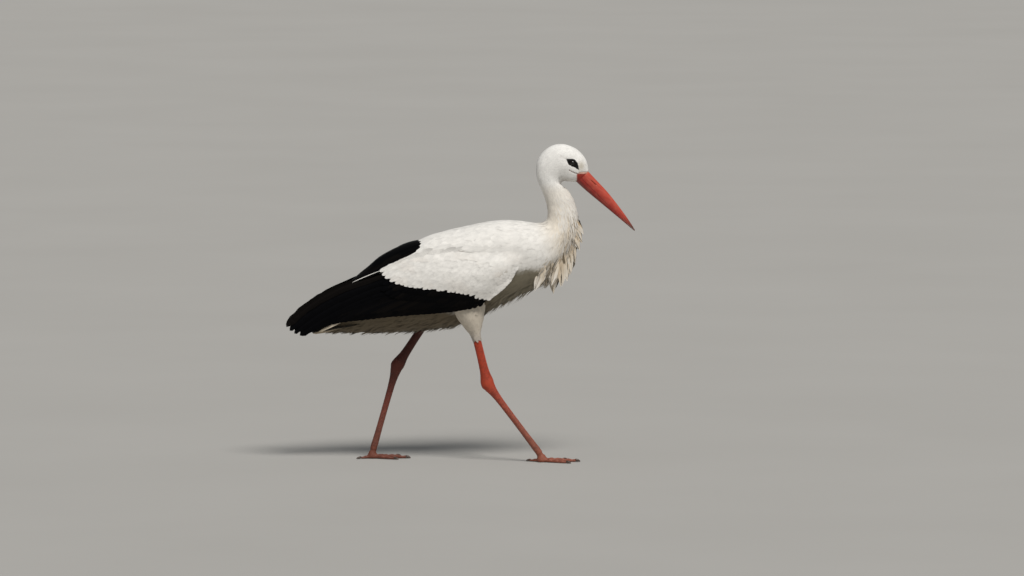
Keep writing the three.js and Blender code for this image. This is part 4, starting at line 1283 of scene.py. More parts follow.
def open_lids(points):
    """Shapes the skin near the eyes: raised lids with a rim, and a socket behind the eyeball."""
    points = face_raised(points)
    x, y, z = in_mm(points)
    radius = np.hypot(x - EYE_CENTRE[0], z - EYE_CENTRE[2])
    near = (z > 630) & (np.abs(y) > 12) & (radius < 16)
    past = radius - EYE_OPENING
    rim = 0.45 * np.exp(-(((past - 0.55) / 0.5) ** 2))
    wrinkle = 0.10 * np.sin(radius * 5.2) * smooth(0.6, 1.6, past) * (1 - smooth(3, 5, past))
    ball = EYE_CENTRE[1] + np.sqrt(np.maximum(EYE_RADIUS**2 - radius**2, 0))
    inside = 1 - smooth(EYE_OPENING - 0.7, EYE_OPENING, radius)
    out = np.abs(y) + rim + wrinkle
    out = out * (1 - inside) + np.minimum(out, ball - 1.6) * inside
    points[:, 1] = np.where(near, np.sign(y) * out, y) * MM
    return points


def skin_tint(points):
    """The coat's colours, painted shade included, with the black patch round the eye and the bare legs."""
    x, y, z = in_mm(points)
    colour = head_marks(points, plumage_tint(points))
    on_head = (z > 600) * smooth(7, 9, np.abs(y))
    patch = (1 - smooth(-0.25, 0.35, eye_patch_reach(x, z))) * on_head
    colour = mix(colour, PATCH_BLACK, patch)
    return mix(colour, leg_tint(points), bareness(points))


def make_skin():
    """One skin for all the flesh, sunk under the coat and bare on the legs and round the eyes."""
    names = BODY_NODES + [f"wing_{side}_coverts" for side in SIDES]
    names += [f"leg_{side}_{part}" for side in SIDES for part in LEG_PARTS]
    names += [f"foot_{side}" for side in SIDES]
    names += [f"toe_{toe}_{side}" for side in SIDES for toe in TOES]
    points, faces = merged_mesh(names, SKIN_GROW, SKIN_VOXEL)
    points = relaxed(points, faces, 3)
    draft = add_mesh("draft", points, faces)
    sunk = coat_depth(points) + SKIN_GROW * 0.8
    points = points - vertex_normals(draft.data) * sunk[:, None] * MM
    bpy.data.objects.remove(draft)
    points = relaxed(points, faces, 2)
    points[:, 2] = np.maximum(points[:, 2], 0)
    points, faces = refined(points, faces)
    points = open_lids(points)
    skin = add_mesh("skin", points, faces)
    add_tint(skin, skin_tint(points))
    mark = skin.data.attributes.new("bare", "FLOAT", "POINT")
    mark.data.foreach_set("value", bareness(points).astype(np.float32))
    skin.data.materials.append(skin_material())
    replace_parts(skin, *names)
    return skin


# ---------- Body plumage ----------

def ring_of(s):
    """The place on BODY_RINGS of a place on the body's sheet."""
    return s / RING_STEPS


def body_spacing(point, s, a):
    """How far apart the body's feathers stand."""
    return table(COAT, ring_of(s), COAT_SPACING) * MM


def above_wing(point):
    """The back over the wings, and the breast in front of them."""
    x, _, z = in_mm(point)
    return (z > edge_at(COVERT_TOP, x) - 5) | (x > 98)


def below_wing(point):
    """The flanks and belly, as far up as they show under the wings."""
    x, y, z = on_right(point)
    low = edge_at(WING_EDGE, x)
    return (x <= 104) & ((z < low + 24) | (y < 20) & (z < 400) | (x < -300))


def covered_by_scapulars(point):
    """The back under the black scapulars, which needs no coat."""
    x, _, z = in_mm(point)
    return (x < -135) & (z > 385)


def lie_of_body(sheet, s, a):
    """Feathers point down the rings, and on the breast they hang."""
    _, along, _, _ = sheet.at(s, a)
    lie = unit(along)
    ring = ring_of(s)
    hang = smooth(7, 8.5, ring) * (1 - smooth(9.5, 11, ring))
    weight = (0.7 * hang * (1 - smooth(0.2, 0.9, front_share(sheet, a))))[:, None]
    return unit(lie * (1 - weight) + np.array((-0.35, 0, -1)) * weight)


def everywhere(point):
    """All points."""
    return np.ones(point.shape[:-1], bool)


def in_throat_fold(points):
    """Which points lie in the fold between chin and neck, where a feather would stand on end."""
    x, y, z = in_mm(points)
    return (np.hypot(x - THROAT_FOLD[0], z - THROAT_FOLD[1]) < THROAT_FOLD[2]) & (np.abs(y) < 14)


def body_coat(sheet, name, stretch, candidates, seed, look, vane, where=everywhere):
    """Feathers on a stretch of the body's rings. vane is stations, corners across and outline."""
    first, last = stretch
    stations, across, outline = vane

    def wanted(point, s, a):
        """On this stretch, where feathers show and can lie flat."""
        ring = ring_of(s)
        keep = (ring >= first) & (ring < last) & where(point) & ~covered_by_scapulars(point)
        return keep & ~on_bare_face(point, FACE_MARGIN) & ~sheet.pinched(s, a)

    s, a = scatter(sheet, candidates, body_spacing, wanted, seed)
    rng = np.random.default_rng(seed + 1)
    ring = ring_of(s)
    length = table(COAT, ring, COAT_LENGTH) * MM * rng.normal(1, 0.08, len(s))
    lie = lie_of_body(sheet, s, a)
    normal = sheet.at(s, a)[3]
    lie = unit(lie + np.cross(normal, lie) * rng.normal(0, 0.1, len(s))[:, None])
    spine = spines(sheet, s, a, lie, length, stations, rng.normal(0, 0.15, len(s)))
    root, middle, tip = (sheet.at(spine[0][:, i], spine[1][:, i])[0] for i in (0, stations // 2, -1))
    clear = ~on_bare_face(middle, 0) & ~on_bare_face(tip, 0) & ~sheet.pinched(*spine).any(axis=1)
    clear &= np.linalg.norm(tip - root, axis=-1) < MOST_REACH * length
    clear &= ~in_throat_fold(root) & ~in_throat_fold(tip)
    spine = (spine[0][clear], spine[1][clear])
    half = table(COAT, ring, COAT_HALF)[clear] * MM
    depth = table(COAT, ring, COAT_DEPTH)[clear] * MM
    shape = {
        "half": half,
        "depth": depth,
        "lift": depth * (0.04 + 0.06 * rng.random(len(half))),
        "camber": 0.06,
        "roll": rng.normal(0, 0.03, len(half)),
        "ragged": 0.1,
        "reach": length[clear],
    }
    return lay_feathers(name, sheet, spine, shape, body_tint, look, across, outline, seed + 2)


def front_share(sheet, a):
    """0 along the throat, breast and belly, 1 along the nape and back."""
    return np.abs(np.mod(a / sheet.columns, 1) - 0.5) * 2


def ruff(sheet, look):
    """Lance-shaped plumes down the foreneck and breast, standing off more towards the breast."""

    def wanted(point, s, a):
        """Down the front, where plumes can lie flat."""
        ring = ring_of(s)
        inside = (ring > RUFF_RINGS[0]) & (ring < RUFF_RINGS[1]) & (front_share(sheet, a) < 0.7)
        return inside & ~sheet.pinched(s, a)

    def gap(point, s, a):
        """How far apart the plumes stand, more towards the breast."""
        return np.interp(ring_of(s), *RUFF_SPACING) * MM

    s, a = scatter(sheet, 16000, gap, wanted, 71)
    rng = np.random.default_rng(72)
    kept = front_share(sheet, a) < 0.38 + 0.32 * rng.random(len(s))
    s, a = s[kept], a[kept]
    ring, front = ring_of(s), front_share(sheet, a)
    count = len(s)
    length = np.interp(ring, *RUFF_LENGTH) * MM
    length = length * rng.normal(1, 0.14, count)
    _, along, _, normal = sheet.at(s, a)
    lie = unit(unit(along) * 0.5 + np.array((-0.3, 0, -1)) * smooth(6, 8, ring)[:, None])
    lie = unit(lie + np.cross(normal, lie) * rng.normal(0, 0.12, count)[:, None])
    spine = spines(sheet, s, a, lie, length, 9, rng.normal(0, 0.2, count))
    stand = smooth(5.9, 7.6, ring) * (1 - smooth(0.15, 0.5, front))
    shape = {
        "half": np.interp(ring, *RUFF_HALF) * MM * (0.8 + 0.5 * rng.random(count)),
        "depth": np.interp(ring, *RUFF_DEPTH) * MM,
        "lift": (0.8 + stand * (1.5 + 7 * rng.random(count) ** 1.5)) * MM,
        "camber": 0.25,
        "roll": rng.normal(0, 0.1, count),
        "ragged": 0.12,
        "soft": 0.6,
    }
    piece = lay_feathers("ruff_plumes", sheet, spine, shape, ruff_tint, look, outline=LANCE, seed=73)
    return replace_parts(piece, "neck_plumes")


def ruff_locks(sheet, look):
    """The ruff's hanging locks: plumes from a patch of the breast, drawn together to a point."""
    rng = np.random.default_rng(81)
    roots, tips, faces, bulges, hidden = [], [], [], [], []
    for side in SIDES.values():
        for x_root, z_root, x_tip, z_tip, y_tip, spread in LOCKS:
            reach = math.hypot(x_tip - x_root, z_tip - z_root)
            along = np.array((x_tip - x_root, 0, z_tip - z_root)) / reach
            across = np.array((along[2], 0, -along[0]))
            for _ in range(LOCK_PLUMES):
                under = rng.random() < (0.4 if y_tip > LOCK_MIDDLE else 0.2)
                off = rng.uniform(-1, 1) * spread * (1.25 if under else 0.75)
                short = 0.4 * rng.random() ** 1.5 + 0.12 * under
                start = across * off + along * reach * rng.uniform(-0.15, 0.2)
                roots.append(sheet.nearest(x_root + start[0], z_root + start[2], side))
                end = across * off * (0.1 + 1.2 * short) - along * reach * short
                out = y_tip - min(8, 0.5 * y_tip) * under + rng.normal(0, 1.5)
                tips.append(end + (x_tip, side * out, z_tip))
                bulges.append(across * off * 0.55)
                hidden.append(under)
                forward = 0.3 + 0.6 * (y_tip < LOCK_MIDDLE)
                faces.append((forward + rng.normal(0, 0.3), side, 0.2 * rng.random()))
    s, a = np.array(roots, float).T
    s = s + rng.uniform(-0.5, 0.5, len(s))
    a = a + rng.uniform(-0.5, 0.5, len(a))
    tip = np.array(tips) * MM
    way = tip - sheet.at(s, a)[0]
    count = len(s)
    bend = rng.normal(0, 0.15, count)
    spine = spines(sheet, s, a, unit(way), np.linalg.norm(way, axis=-1), 10, bend)
    shape = {
        "half": (3.0 + 1.6 * rng.random(count)) * MM,
        "depth": 4 * MM,
        "lift": 0.5 * MM,
        "camber": 0.3,
        "roll": rng.normal(0, 0.12, count),
        "ragged": 0.12,
        "soft": 0.8,
        "droop": tip - sheet.at(spine[0][:, -1], spine[1][:, -1])[0],
        "bulge": np.array(bulges) * MM,
        "face": unit(np.array(faces)),
    }

    def tint(vanes):
        """The locks' colour, with the plumes behind them darkened by painted shade."""
        return mix(lock_tint(vanes), UNDER_SHADE_BROWN, 0.85 * np.array(hidden)[:, None])

    return lay_feathers("ruff_locks", sheet, spine, shape, tint, look, outline=LANCE, seed=83)


def belly_fringe(sheet, look):
    """Loose plumes along the belly and under the tail, their tips hanging a little."""

    def wanted(point, s, a):
        """Along the underside."""
        ring = ring_of(s)
        return (ring > FRINGE_RINGS[0]) & (ring < FRINGE_RINGS[1]) & (front_share(sheet, a) < 0.3)

    def gap(point, s, a):
        """How far apart the plumes stand."""
        return np.full(len(point), FRINGE_SPACING * MM)

    s, a = scatter(sheet, 6000, gap, wanted, 91)
    rng = np.random.default_rng(92)
    count = len(s)
    length = rng.normal(FRINGE_LENGTH, 8, count) * MM
    spine = spines(sheet, s, a, unit(sheet.at(s, a)[1]), length, 8, rng.normal(0, 0.2, count))
    hang = rng.random(count)[:, None] * (1 - smooth(0.1, 0.3, front_share(sheet, a)))[:, None]
    shape = {
        "half": (3.0 + 1.5 * rng.random(count)) * MM,
        "depth": 3.5 * MM,
        "lift": 0.6 * MM,
        "camber": 0.2,
        "roll": rng.normal(0, 0.1, count),
        "droop": hang * np.array((2, 0, -9)) * np.interp(ring_of(s), [9.5, 11], [1.6, 1])[:, None] * MM,
    }
    return lay_feathers("belly_fringe", sheet, spine, shape, body_tint, look, outline=LANCE, seed=93)


def limb_sheet(rows, start, end, sides=40, step=2.0):
    """Rings step mm apart round a straight limb, from a table of share, half depth, half width."""
    start, end = np.array(start, float) * MM, np.array(end, float) * MM
    along = unit(end - start)
    front = unit(np.cross(along, (0, 1, 0)))
    across = np.cross(front, along)
    profile = spline(rows, np.linspace(0, len(rows) - 1, 20 * len(rows)))
    length = np.linalg.norm(end - start) / MM * (rows[-1][0] - rows[0][0])
    share = np.linspace(rows[0][0], rows[-1][0], round(length / step) + 1)
    deep, wide = (np.interp(share, profile[:, 0], profile[:, i])[:, None, None] * MM for i in (1, 2))
    angle = (np.arange(sides) * 2 * np.pi / sides)[:, None]
    centre = (start + (end - start) * share[:, None])[:, None]
    points = centre + deep * front * np.cos(angle) + wide * across * np.sin(angle)
    return Sheet(points, True, np.broadcast_to(centre, points.shape))


def thigh_coat(side, look, seed):
    """Short soft feathers round a thigh, ending in a ragged cuff above the bare leg."""
    knee, ankle, _, _ = LEGS[side]
    sheet = limb_sheet(THIGH, knee, ankle)
    rows = sheet.rows

    def wanted(point, s, a):
        """Clear of the sheet's ends."""
        return (s > 4) & (s < rows * 0.9)

    def spacing(point, s, a):
        """How far apart the feathers stand, less towards the cuff."""
        return np.interp(s / rows, *THIGH_SPACING) * MM

    s, a = scatter(sheet, 6000, spacing, wanted, seed)
    rng = np.random.default_rng(seed + 1)
    count = len(s)
    place = s / rows
    length = np.interp(place, *THIGH_LENGTH) * MM * rng.normal(1, 0.12, count)
    lie = unit(sheet.at(s, a)[1])
    spine = spines(sheet, s, a, lie, length, 6, rng.normal(0, 0.15, count))
    shape = {
        "half": np.interp(place, *THIGH_HALF) * MM,
        "depth": np.interp(place, *THIGH_DEPTH) * MM,
        "lift": np.interp(place, *THIGH_LIFT) * MM * rng.random(count),
        "camber": 0.18,
        "roll": rng.normal(0, 0.06, count),
    }
    return lay_feathers(f"coat_thigh_{side}", sheet, spine, shape, thigh_tint, look, seed=seed + 2)


# ---------- Wings and tail ----------

def curve_spine(start, control, end, stations):
    """Side-view curves: arrays of (x, z) starts, controls and ends give shafts on the wing sheet."""
    t = station_shares(stations)[None, :, None]
    start, control, end = (np.array(p, float)[:, None, :] for p in (start, control, end))
    path = start * (1 - t) ** 2 + control * 2 * t * (1 - t) + end * t**2
    return wing_place(path[..., 0], path[..., 1])


def strip_shape(side, half, depth, lift, roll, ridge=0.5, ragged=0.08):
    """The shape of long vanes, in millimetres. The roll brings their lower edges outwards on either side."""
    return {
        "half": half * MM,
        "depth": depth * MM,
        "lift": lift * MM,
        "camber": 0.05,
        "roll": -side * roll,
        "ridge": ridge,
        "ragged": ragged,
    }


def secondaries(sheet, name, side, look):
    """Black secondaries: tips along the wing's lower edge, roots under the white coverts."""
    k = np.linspace(0, 1, SECONDARY_COUNT)
    first, last = SECONDARY_TIPS
    tip_x = first + (last - first) * k
    tip_z = edge_at(WING_EDGE, tip_x) + 1.5
    reach = 27 + 129 * smooth(0, 0.45, k)
    angle = np.radians(44 - 21 * smooth(0, 0.4, k) - 2 * k)
    root_x = tip_x + reach * np.cos(angle)
    root_z = tip_z + reach * np.sin(angle)
    start = np.stack([root_x, root_z], -1)
    end = np.stack([tip_x, tip_z], -1)
    control = (start + end) / 2 + np.array((-6, 9))
    spine = curve_spine(start, control, end, 12)
    shape = strip_shape(side, 6 + 8 * smooth(0, 0.25, k), 4.5, -1.4, 0.08, ragged=0.02)
    piece = lay_feathers(f"secondaries_{name}", sheet, spine, shape, black_tint, look, 5, FLIGHT, 101)
    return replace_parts(piece, f"wing_{name}_secondaries")


def primaries(sheet, name, side, look):
    """Black primaries behind the secondaries, their tips in steps at the wing's end."""
    k = np.linspace(0, 1, len(PRIMARY_TIPS))
    start = np.stack([-150 + 60 * k, 418 - 50 * k], -1)
    end = np.array(PRIMARY_TIPS, float)
    control = start * 0.35 + end * 0.65 + np.stack([-4 + 10 * k, 46 - 36 * k], -1)
    spine = curve_spine(start, control, end, 16)
    shape = strip_shape(side, 13, 5.5, -2.4, 0.1)
    piece = lay_feathers(f"primaries_{name}", sheet, spine, shape, black_tint, look, 5, FLIGHT, 102)
    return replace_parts(piece, f"wing_{name}_primaries")


def black_coverts(sheet, name, side, look):
    """Black greater coverts in two rows under the white ones."""
    starts, ends = [], []
    for row, drop in enumerate((13, 30)):
        for x in np.arange(38 - 5 * row, -172, -10.5):
            z = edge_at(COVERT_EDGE, x) - drop * min(1, (60 - x) / 60)
            ends.append((x - 8, z))
            reach = min(54, 82 - x)
            starts.append((x - 8 + reach * 0.92, z + reach * 0.42))
    start, end = np.array(starts, float), np.array(ends, float)
    control = (start + end) / 2 + np.array((-3, 3))
    spine = curve_spine(start, control, end, 9)
    count = len(start)
    row_lift = np.where(np.arange(count) < count // 2, -0.3, -0.8)
    shape = strip_shape(side, 8.5, 3.5, row_lift, 0.08, ridge=0.3)
    return lay_feathers(f"black_coverts_{name}", sheet, spine, shape, black_tint, look, 5, seed=103)


def covert_edges(rng):
    """The roots and tips of the coverts along the wing's edges, in side view."""
    first_row = np.arange(52, -181, -EDGE_STEP)
    edge_x = np.concatenate([first_row, first_row[:-1] - EDGE_STEP / 2])
    edge_x = edge_x + rng.normal(0, 1.3, len(edge_x))
    inner = np.arange(len(edge_x)) >= len(first_row)
    edge_z = edge_at(COVERT_EDGE, edge_x) + 3.5 * inner + rng.normal(0, 0.9, len(edge_x))
    edge_end = np.stack([edge_x, edge_z], -1)
    edge_angle = np.interp(edge_x, *EDGE_SLANT)
    top_x = np.arange(-92, -178, -6.5)
    top_end = np.stack([top_x, edge_at(COVERT_TOP, top_x) - 4.5], -1)
    front_x = np.arange(60, 110, 6)
    front_end = np.stack([front_x, edge_at(WING_EDGE, front_x) + 3], -1)
    end = np.concatenate([edge_end, top_end, front_end])
    angle = np.radians(np.concatenate([edge_angle, np.full(len(top_x), 23), np.full(len(front_x), 52)]))
    reach = np.where(np.arange(len(end)) < len(edge_end) + len(top_end), 34, 24)
    return end + reach[:, None] * np.stack([np.cos(angle), np.sin(angle)], -1), end


def white_coverts(sheet, name, look):
    """White coverts over the wing, the last row in points along the black."""
    edge_rng = np.random.default_rng(110)
    start, end = covert_edges(edge_rng)
    rows = curve_spine(start, (start + end) / 2, end, 9)

    def wanted(point, s, a):
        """Between the wing's upper and lower edges."""
        x, _, z = in_mm(point)
        return (z < edge_at(COVERT_TOP, x) + 12) & (x < 132) & (x > -170) & (z > edge_at(WING_EDGE, x) + 5)

    def spacing(point, s, a):
        """How far apart the coverts stand, less towards the front."""
        return np.interp(point[..., 0] / MM, *COVERT_SPACING) * MM

    s, a = scatter(sheet, 11000, spacing, wanted, 111)
    x = sheet.at(s, a)[0][:, 0] / MM
    rng = np.random.default_rng(112)
    angle = np.radians(np.interp(x, *COVERT_SLANT) + rng.normal(0, 5, len(s)))
    lie = np.stack([-np.cos(angle), 0 * angle, -np.sin(angle)], -1)
    length = np.interp(x, *COVERT_LENGTH) * MM * rng.normal(1, 0.08, len(s))
    more = spines(sheet, s, a, lie, length, 9, rng.normal(0, 0.08, len(s)))
    tip_x, _, tip_z = in_mm(sheet.at(more[0][:, -1], more[1][:, -1])[0])
    inside = (tip_z > edge_at(COVERT_EDGE, tip_x) + 5) & (tip_z < edge_at(COVERT_TOP, tip_x) - 3)
    inside &= (tip_x > -170) & (tip_z > edge_at(WING_EDGE, tip_x) + 4)
    spine = tuple(np.concatenate([row, part[inside]]) for row, part in zip(rows, more))
    total = len(spine[0])
    half = np.interp(x[inside], *COVERT_HALF)
    shape = {
        "half": np.concatenate([5.2 + 1.2 * edge_rng.random(len(end)), half]) * MM,
        "depth": 3.0 * MM,
        "lift": 0.6 * MM + 0.5 * MM * rng.random(total),
        "camber": 0.05,
        "roll": rng.normal(0, 0.02, total),
        "ridge": 0.1,
        "ragged": 0.05,
    }
    return lay_feathers(f"white_coverts_{name}", sheet, spine, shape, white_tint, look, 5, seed=113)


def pale_edges(sheet, name, side, look):
    """Two thin white lines: a tertial's edge over the black wing, and the tail's edge below it."""
    start = [(-165, 427), (-214, 330)]
    end = [(-237, 395), (-318, 282)]
    control = [(-200, 413), (-272, 309)]
    spine = curve_spine(start, control, end, 14)
    shape = strip_shape(side, np.array((0.8, 3.2)), 3.0, np.array((1.0, -5.0)), 0.05, 0.1, 0.0)
    return lay_feathers(f"pale_edges_{name}", sheet, spine, shape, pale_tint, look, seed=151)


def overhang(sheet, name, side, look):
    """White scapulars whose tips overhang the wing's coverts in a soft crease."""
    x = np.arange(82, -98, -5.0)
    tip_z = edge_at(CREASE, x) + 5
    rise = np.radians(np.interp(x, [-100, 0, 80], [21, 8, 3]))
    roots = zip(x + 60 * np.cos(rise), tip_z + 60 * np.sin(rise))
    root = [sheet.nearest(*place, side) for place in roots]
    tip = [sheet.nearest(*place, side) for place in zip(x, tip_z)]
    spine = straight_spines(np.array(root, float), np.array(tip, float), 9)
    rng = np.random.default_rng(160)
    count = len(x)
    shape = {
        "half": 6.2 * MM,
        "depth": 3.5 * MM,
        "lift": (0.9 + 0.5 * rng.random(count)) * (1 - 0.6 * smooth(20, 80, x)) * MM,
        "camber": 0.08,
        "roll": rng.normal(0, 0.03, count),
        "ridge": 0.1,
        "ragged": 0.06,
    }
    return lay_feathers(f"overhang_{name}", sheet, spine, shape, white_tint, look, 5, seed=161)


def crease(sheet, name, side, look):
    """A thin strip of painted shade under the overhanging scapulars."""
    share = station_shares(20)
    x = 34 - 112 * share
    z = edge_at(CREASE, x) + 0.8 * np.sin(x / 9)
    places = np.array([sheet.nearest(*place, side) for place in zip(x, z)], float).T
    spine = tuple(np.polyval(np.polyfit(share, place, 4), share)[None] for place in places)
    shape = {"half": 0.9 * MM, "depth": -1.1 * MM, "lift": 1.3 * MM}
    return lay_feathers(f"crease_{name}", sheet, spine, shape, crease_shade_tint, look, outline=LANCE, seed=171)


def back_sheet():
    """The whole back over wings and trunk, found by rays from a half cylinder. s runs backwards."""
    names = BODY_NODES + ["scapulars_right", "scapulars_left"]
    names += [f"wing_{side}_{part}" for side in SIDES for part in ("coverts", "secondaries", "primaries")]
    tree = tree_of(names)
    xs = np.arange(*BACK_SPAN, -float(BACK_GRID))
    angles = np.radians(np.arange(-100, 101, 4))
    grid = np.full((len(xs), len(angles), 3), np.nan)
    centres = np.zeros_like(grid)
    for i, x in enumerate(xs):
        centre = Vector((x, 0, np.interp(-x, [-60, 90, 250, 384], [430, 415, 350, 285]))) * MM
        centres[i] = centre
        for j, angle in enumerate(angles):
            out = Vector((0, -math.sin(angle), math.cos(angle)))
            hit = tree.ray_cast(centre + out * 0.25, -out, 0.25)[0]
            if hit:
                grid[i, j] = hit
    grid = blurred(filled(grid), 3, False)
    behind = smooth(175, 210, -xs)[:, None, None]
    return Sheet(grid * (1 - behind) + blurred(grid, 30, False) * behind, False, centres)


def scapulars(sheet, look):
    """Long black scapulars and tertials over the back, from the white saddle to the wings' ridge."""
    columns = sheet.columns
    middle = (columns - 1) / 2
    starts, ends, halves = [], [], []
    for row, (x_root, x_tip, spread, half) in enumerate(SCAPULAR_ROWS):
        for k in np.linspace(-1, 1, 9 + row % 2):
            starts.append(((BACK_SPAN[0] - x_root) / BACK_GRID, middle + k * spread))
            ends.append(((BACK_SPAN[0] - x_tip) / BACK_GRID, middle + k * spread * 0.8))
            halves.append(half)
    spine = straight_spines(np.array(starts), np.array(ends), 12)
    count = len(starts)
    rng = np.random.default_rng(120)
    shape = {
        "half": np.array(halves) * MM,
        "depth": 4 * MM,
        "lift": (0.2 + 0.8 * rng.random(count)) * MM,
        "camber": 0.1,
        "roll": rng.normal(0, 0.04, count),
        "ridge": 0.35,
    }
    piece = lay_feathers("scapular_plumes", sheet, spine, shape, black_tint, look, 5, seed=121)
    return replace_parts(piece, "scapulars_right", "scapulars_left")


def tail_sheet():
    """The closed tail's upper face: s backwards, a from right to left."""
    xs = np.linspace(*TAIL_ENDS, 24)
    ys = np.linspace(-1, 1, 25)
    z = np.interp(-xs, TAIL_PLACES, TAIL_HEIGHT)
    half = np.interp(-xs, TAIL_PLACES, TAIL_HALF)
    grid = np.stack(np.broadcast_arrays(
        xs[:, None], half[:, None] * ys[None], z[:, None] - 5 * ys[None] ** 2), -1) * MM
    return Sheet(grid, False, grid - np.array((0, 0, 0.1)))


def tail(look):
    """Twelve white tail feathers, the middle pair on top."""
    sheet = tail_sheet()
    place = np.linspace(-1, 1, TAIL_COUNT)
    tips = TAIL_TIP + 6 * place**2
    t = station_shares(10)[None, :]
    front, back = TAIL_ENDS
    end_s = (front - tips) / ((front - back) / (sheet.rows - 1))
    spine_s = 0.5 + (end_s[:, None] - 0.5) * t
    middle = (sheet.columns - 1) / 2
    spine_a = middle + middle * place[:, None] * (0.45 + 0.33 * t)
    shape = {
        "half": 12 * MM,
        "depth": (1.5 + 2.5 * np.abs(place)) * MM,
        "lift": -(0.3 + 2.2 * np.abs(place)) * MM,
        "camber": 0.05,
        "roll": 0.1 * np.sign(place),
        "ridge": 0.4,
    }
    piece = lay_feathers("tail_feathers", sheet, (spine_s, spine_a), shape, white_tint, look, 5, FLIGHT, 131)
    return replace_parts(piece, "tail")


# ---------- Bill and eyes ----------

def capped_loft(name, rings):
    """A closed piece through rings of points, with both ends drawn to their middles."""
    rows, columns, _ = rings.shape
    points = np.concatenate([rings.reshape(-1, 3), rings[:1].mean(axis=1), rings[-1:].mean(axis=1)])
    faces, caps = [], []
    last = (rows - 1) * columns
    sides = [(j, (j + 1) % columns) for j in range(columns)]
    for near in range(0, last, columns):
        far = near + columns
        faces += [(near + j, near + k, far + k, far + j) for j, k in sides]
    for j, k in sides:
        caps.append((rows * columns, k, j))
        caps.append((rows * columns + 1, last + j, last + k))
    mesh = bpy.data.meshes.new(name)
    mesh.from_pydata(points.tolist(), [], faces + caps)
    mesh.polygons.foreach_set("use_smooth", [True] * len(mesh.polygons))
    mesh.update()
    piece = bpy.data.objects.new(name, mesh)
    bpy.context.scene.collection.objects.link(piece)
    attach(piece, "root")
    return piece


def mandible(name, column, sign, material):
    """Half of the bill: a flat cutting edge and a round back, with the nostril's slit in the upper one."""
    pitch = math.radians(BILL_PITCH)
    forward = np.array((math.cos(pitch), 0, -math.sin(pitch)))
    up = np.array((math.sin(pitch), 0, math.cos(pitch)))
    rows = spline(BILL, np.linspace(0, len(BILL) - 1, 121))
    distance = rows[:, 0]
    edge = rows[:, 2] + sign * 0.22
    height = rows[:, column] - edge
    half = BILL_WIDTH / 2 * rows[:, 4]
    angle = np.linspace(0, np.pi, 81)
    flat = np.linspace(1, -1, 9)[1:-1]
    y = np.concatenate([np.cos(angle), -flat])[None] * half[:, None]
    crown = np.sin(angle) ** 0.92
    z = edge[:, None] + np.concatenate([crown, 0 * flat])[None] * height[:, None]
    groove = np.zeros_like(y)
    if sign > 0:
        along = smooth(14, 20, distance) * (1 - smooth(32, 58, distance))
        line = NOSTRIL[2] + 0.06 * (distance - 20)
        groove = np.exp(-((z - line[:, None]) / 1.5) ** 2) * along[:, None] * 0.9
        first, last, _ = NOSTRIL
        slit = smooth(first, first + 2, distance) * (1 - smooth(last - 2, last, distance))
        groove += np.exp(-((z - line[:, None]) / 0.8) ** 2) * slit[:, None] * 1.8
    y = y - np.sign(y) * groove
    base = np.array(BILL_BASE, float)
    rings = base + distance[:, None, None] * forward + z[..., None] * up
    rings[..., 1] = y
    if sign < 0:
        rings = rings[:, ::-1]
    piece = capped_loft(f"{name}_horn", rings * MM)
    piece.data.materials.append(material)
    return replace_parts(piece, name)


def eye(name, side, material):
    """An eyeball with a cornea's bulge, the pupil looking out to the side."""
    x, y, z = EYE_CENTRE
    rows, columns = 40, 48
    theta = np.linspace(0, np.pi, rows)[1:-1, None]
    phi = np.linspace(0, 2 * np.pi, columns, endpoint=False)[None]
    radius = EYE_RADIUS * (1 + 0.05 * np.exp(-(theta / 0.55) ** 2))
    ring = np.stack(np.broadcast_arrays(
        x + radius * np.sin(theta) * np.cos(phi),
        side * (y + radius * np.cos(theta)) + 0 * phi,
        z + side * radius * np.sin(theta) * np.sin(phi),
    ), -1)
    piece = capped_loft(f"eyeball_{name}", ring * MM)
    piece.data.materials.append(material)
    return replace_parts(piece, f"eye_{name}")


# ---------- Leg scales and claws ----------

def leg_scales(side, look):
    """Small raised plates round the bare leg, in rows like a honeycomb."""
    knee, ankle, foot, _ = LEGS[side]
    for part, rows, start, end in (("shank", SHANK, knee, ankle), ("tarsus", TARSUS, ankle, foot)):
        sheet = limb_sheet(rows, start, end)
        length = math.dist(start, end) * (rows[-1][0] - rows[0][0])
        count = round(length / SCALE_ROW)
        row = np.repeat(np.arange(count), SCALES_ROUND)
        s = 0.5 + row * (sheet.rows - 2) / count
        a = (np.tile(np.arange(SCALES_ROUND), count) + 0.5 * (row % 2)) * sheet.columns / SCALES_ROUND
        lay_scales(f"scales_{part}_{side}", sheet, s, a, look)


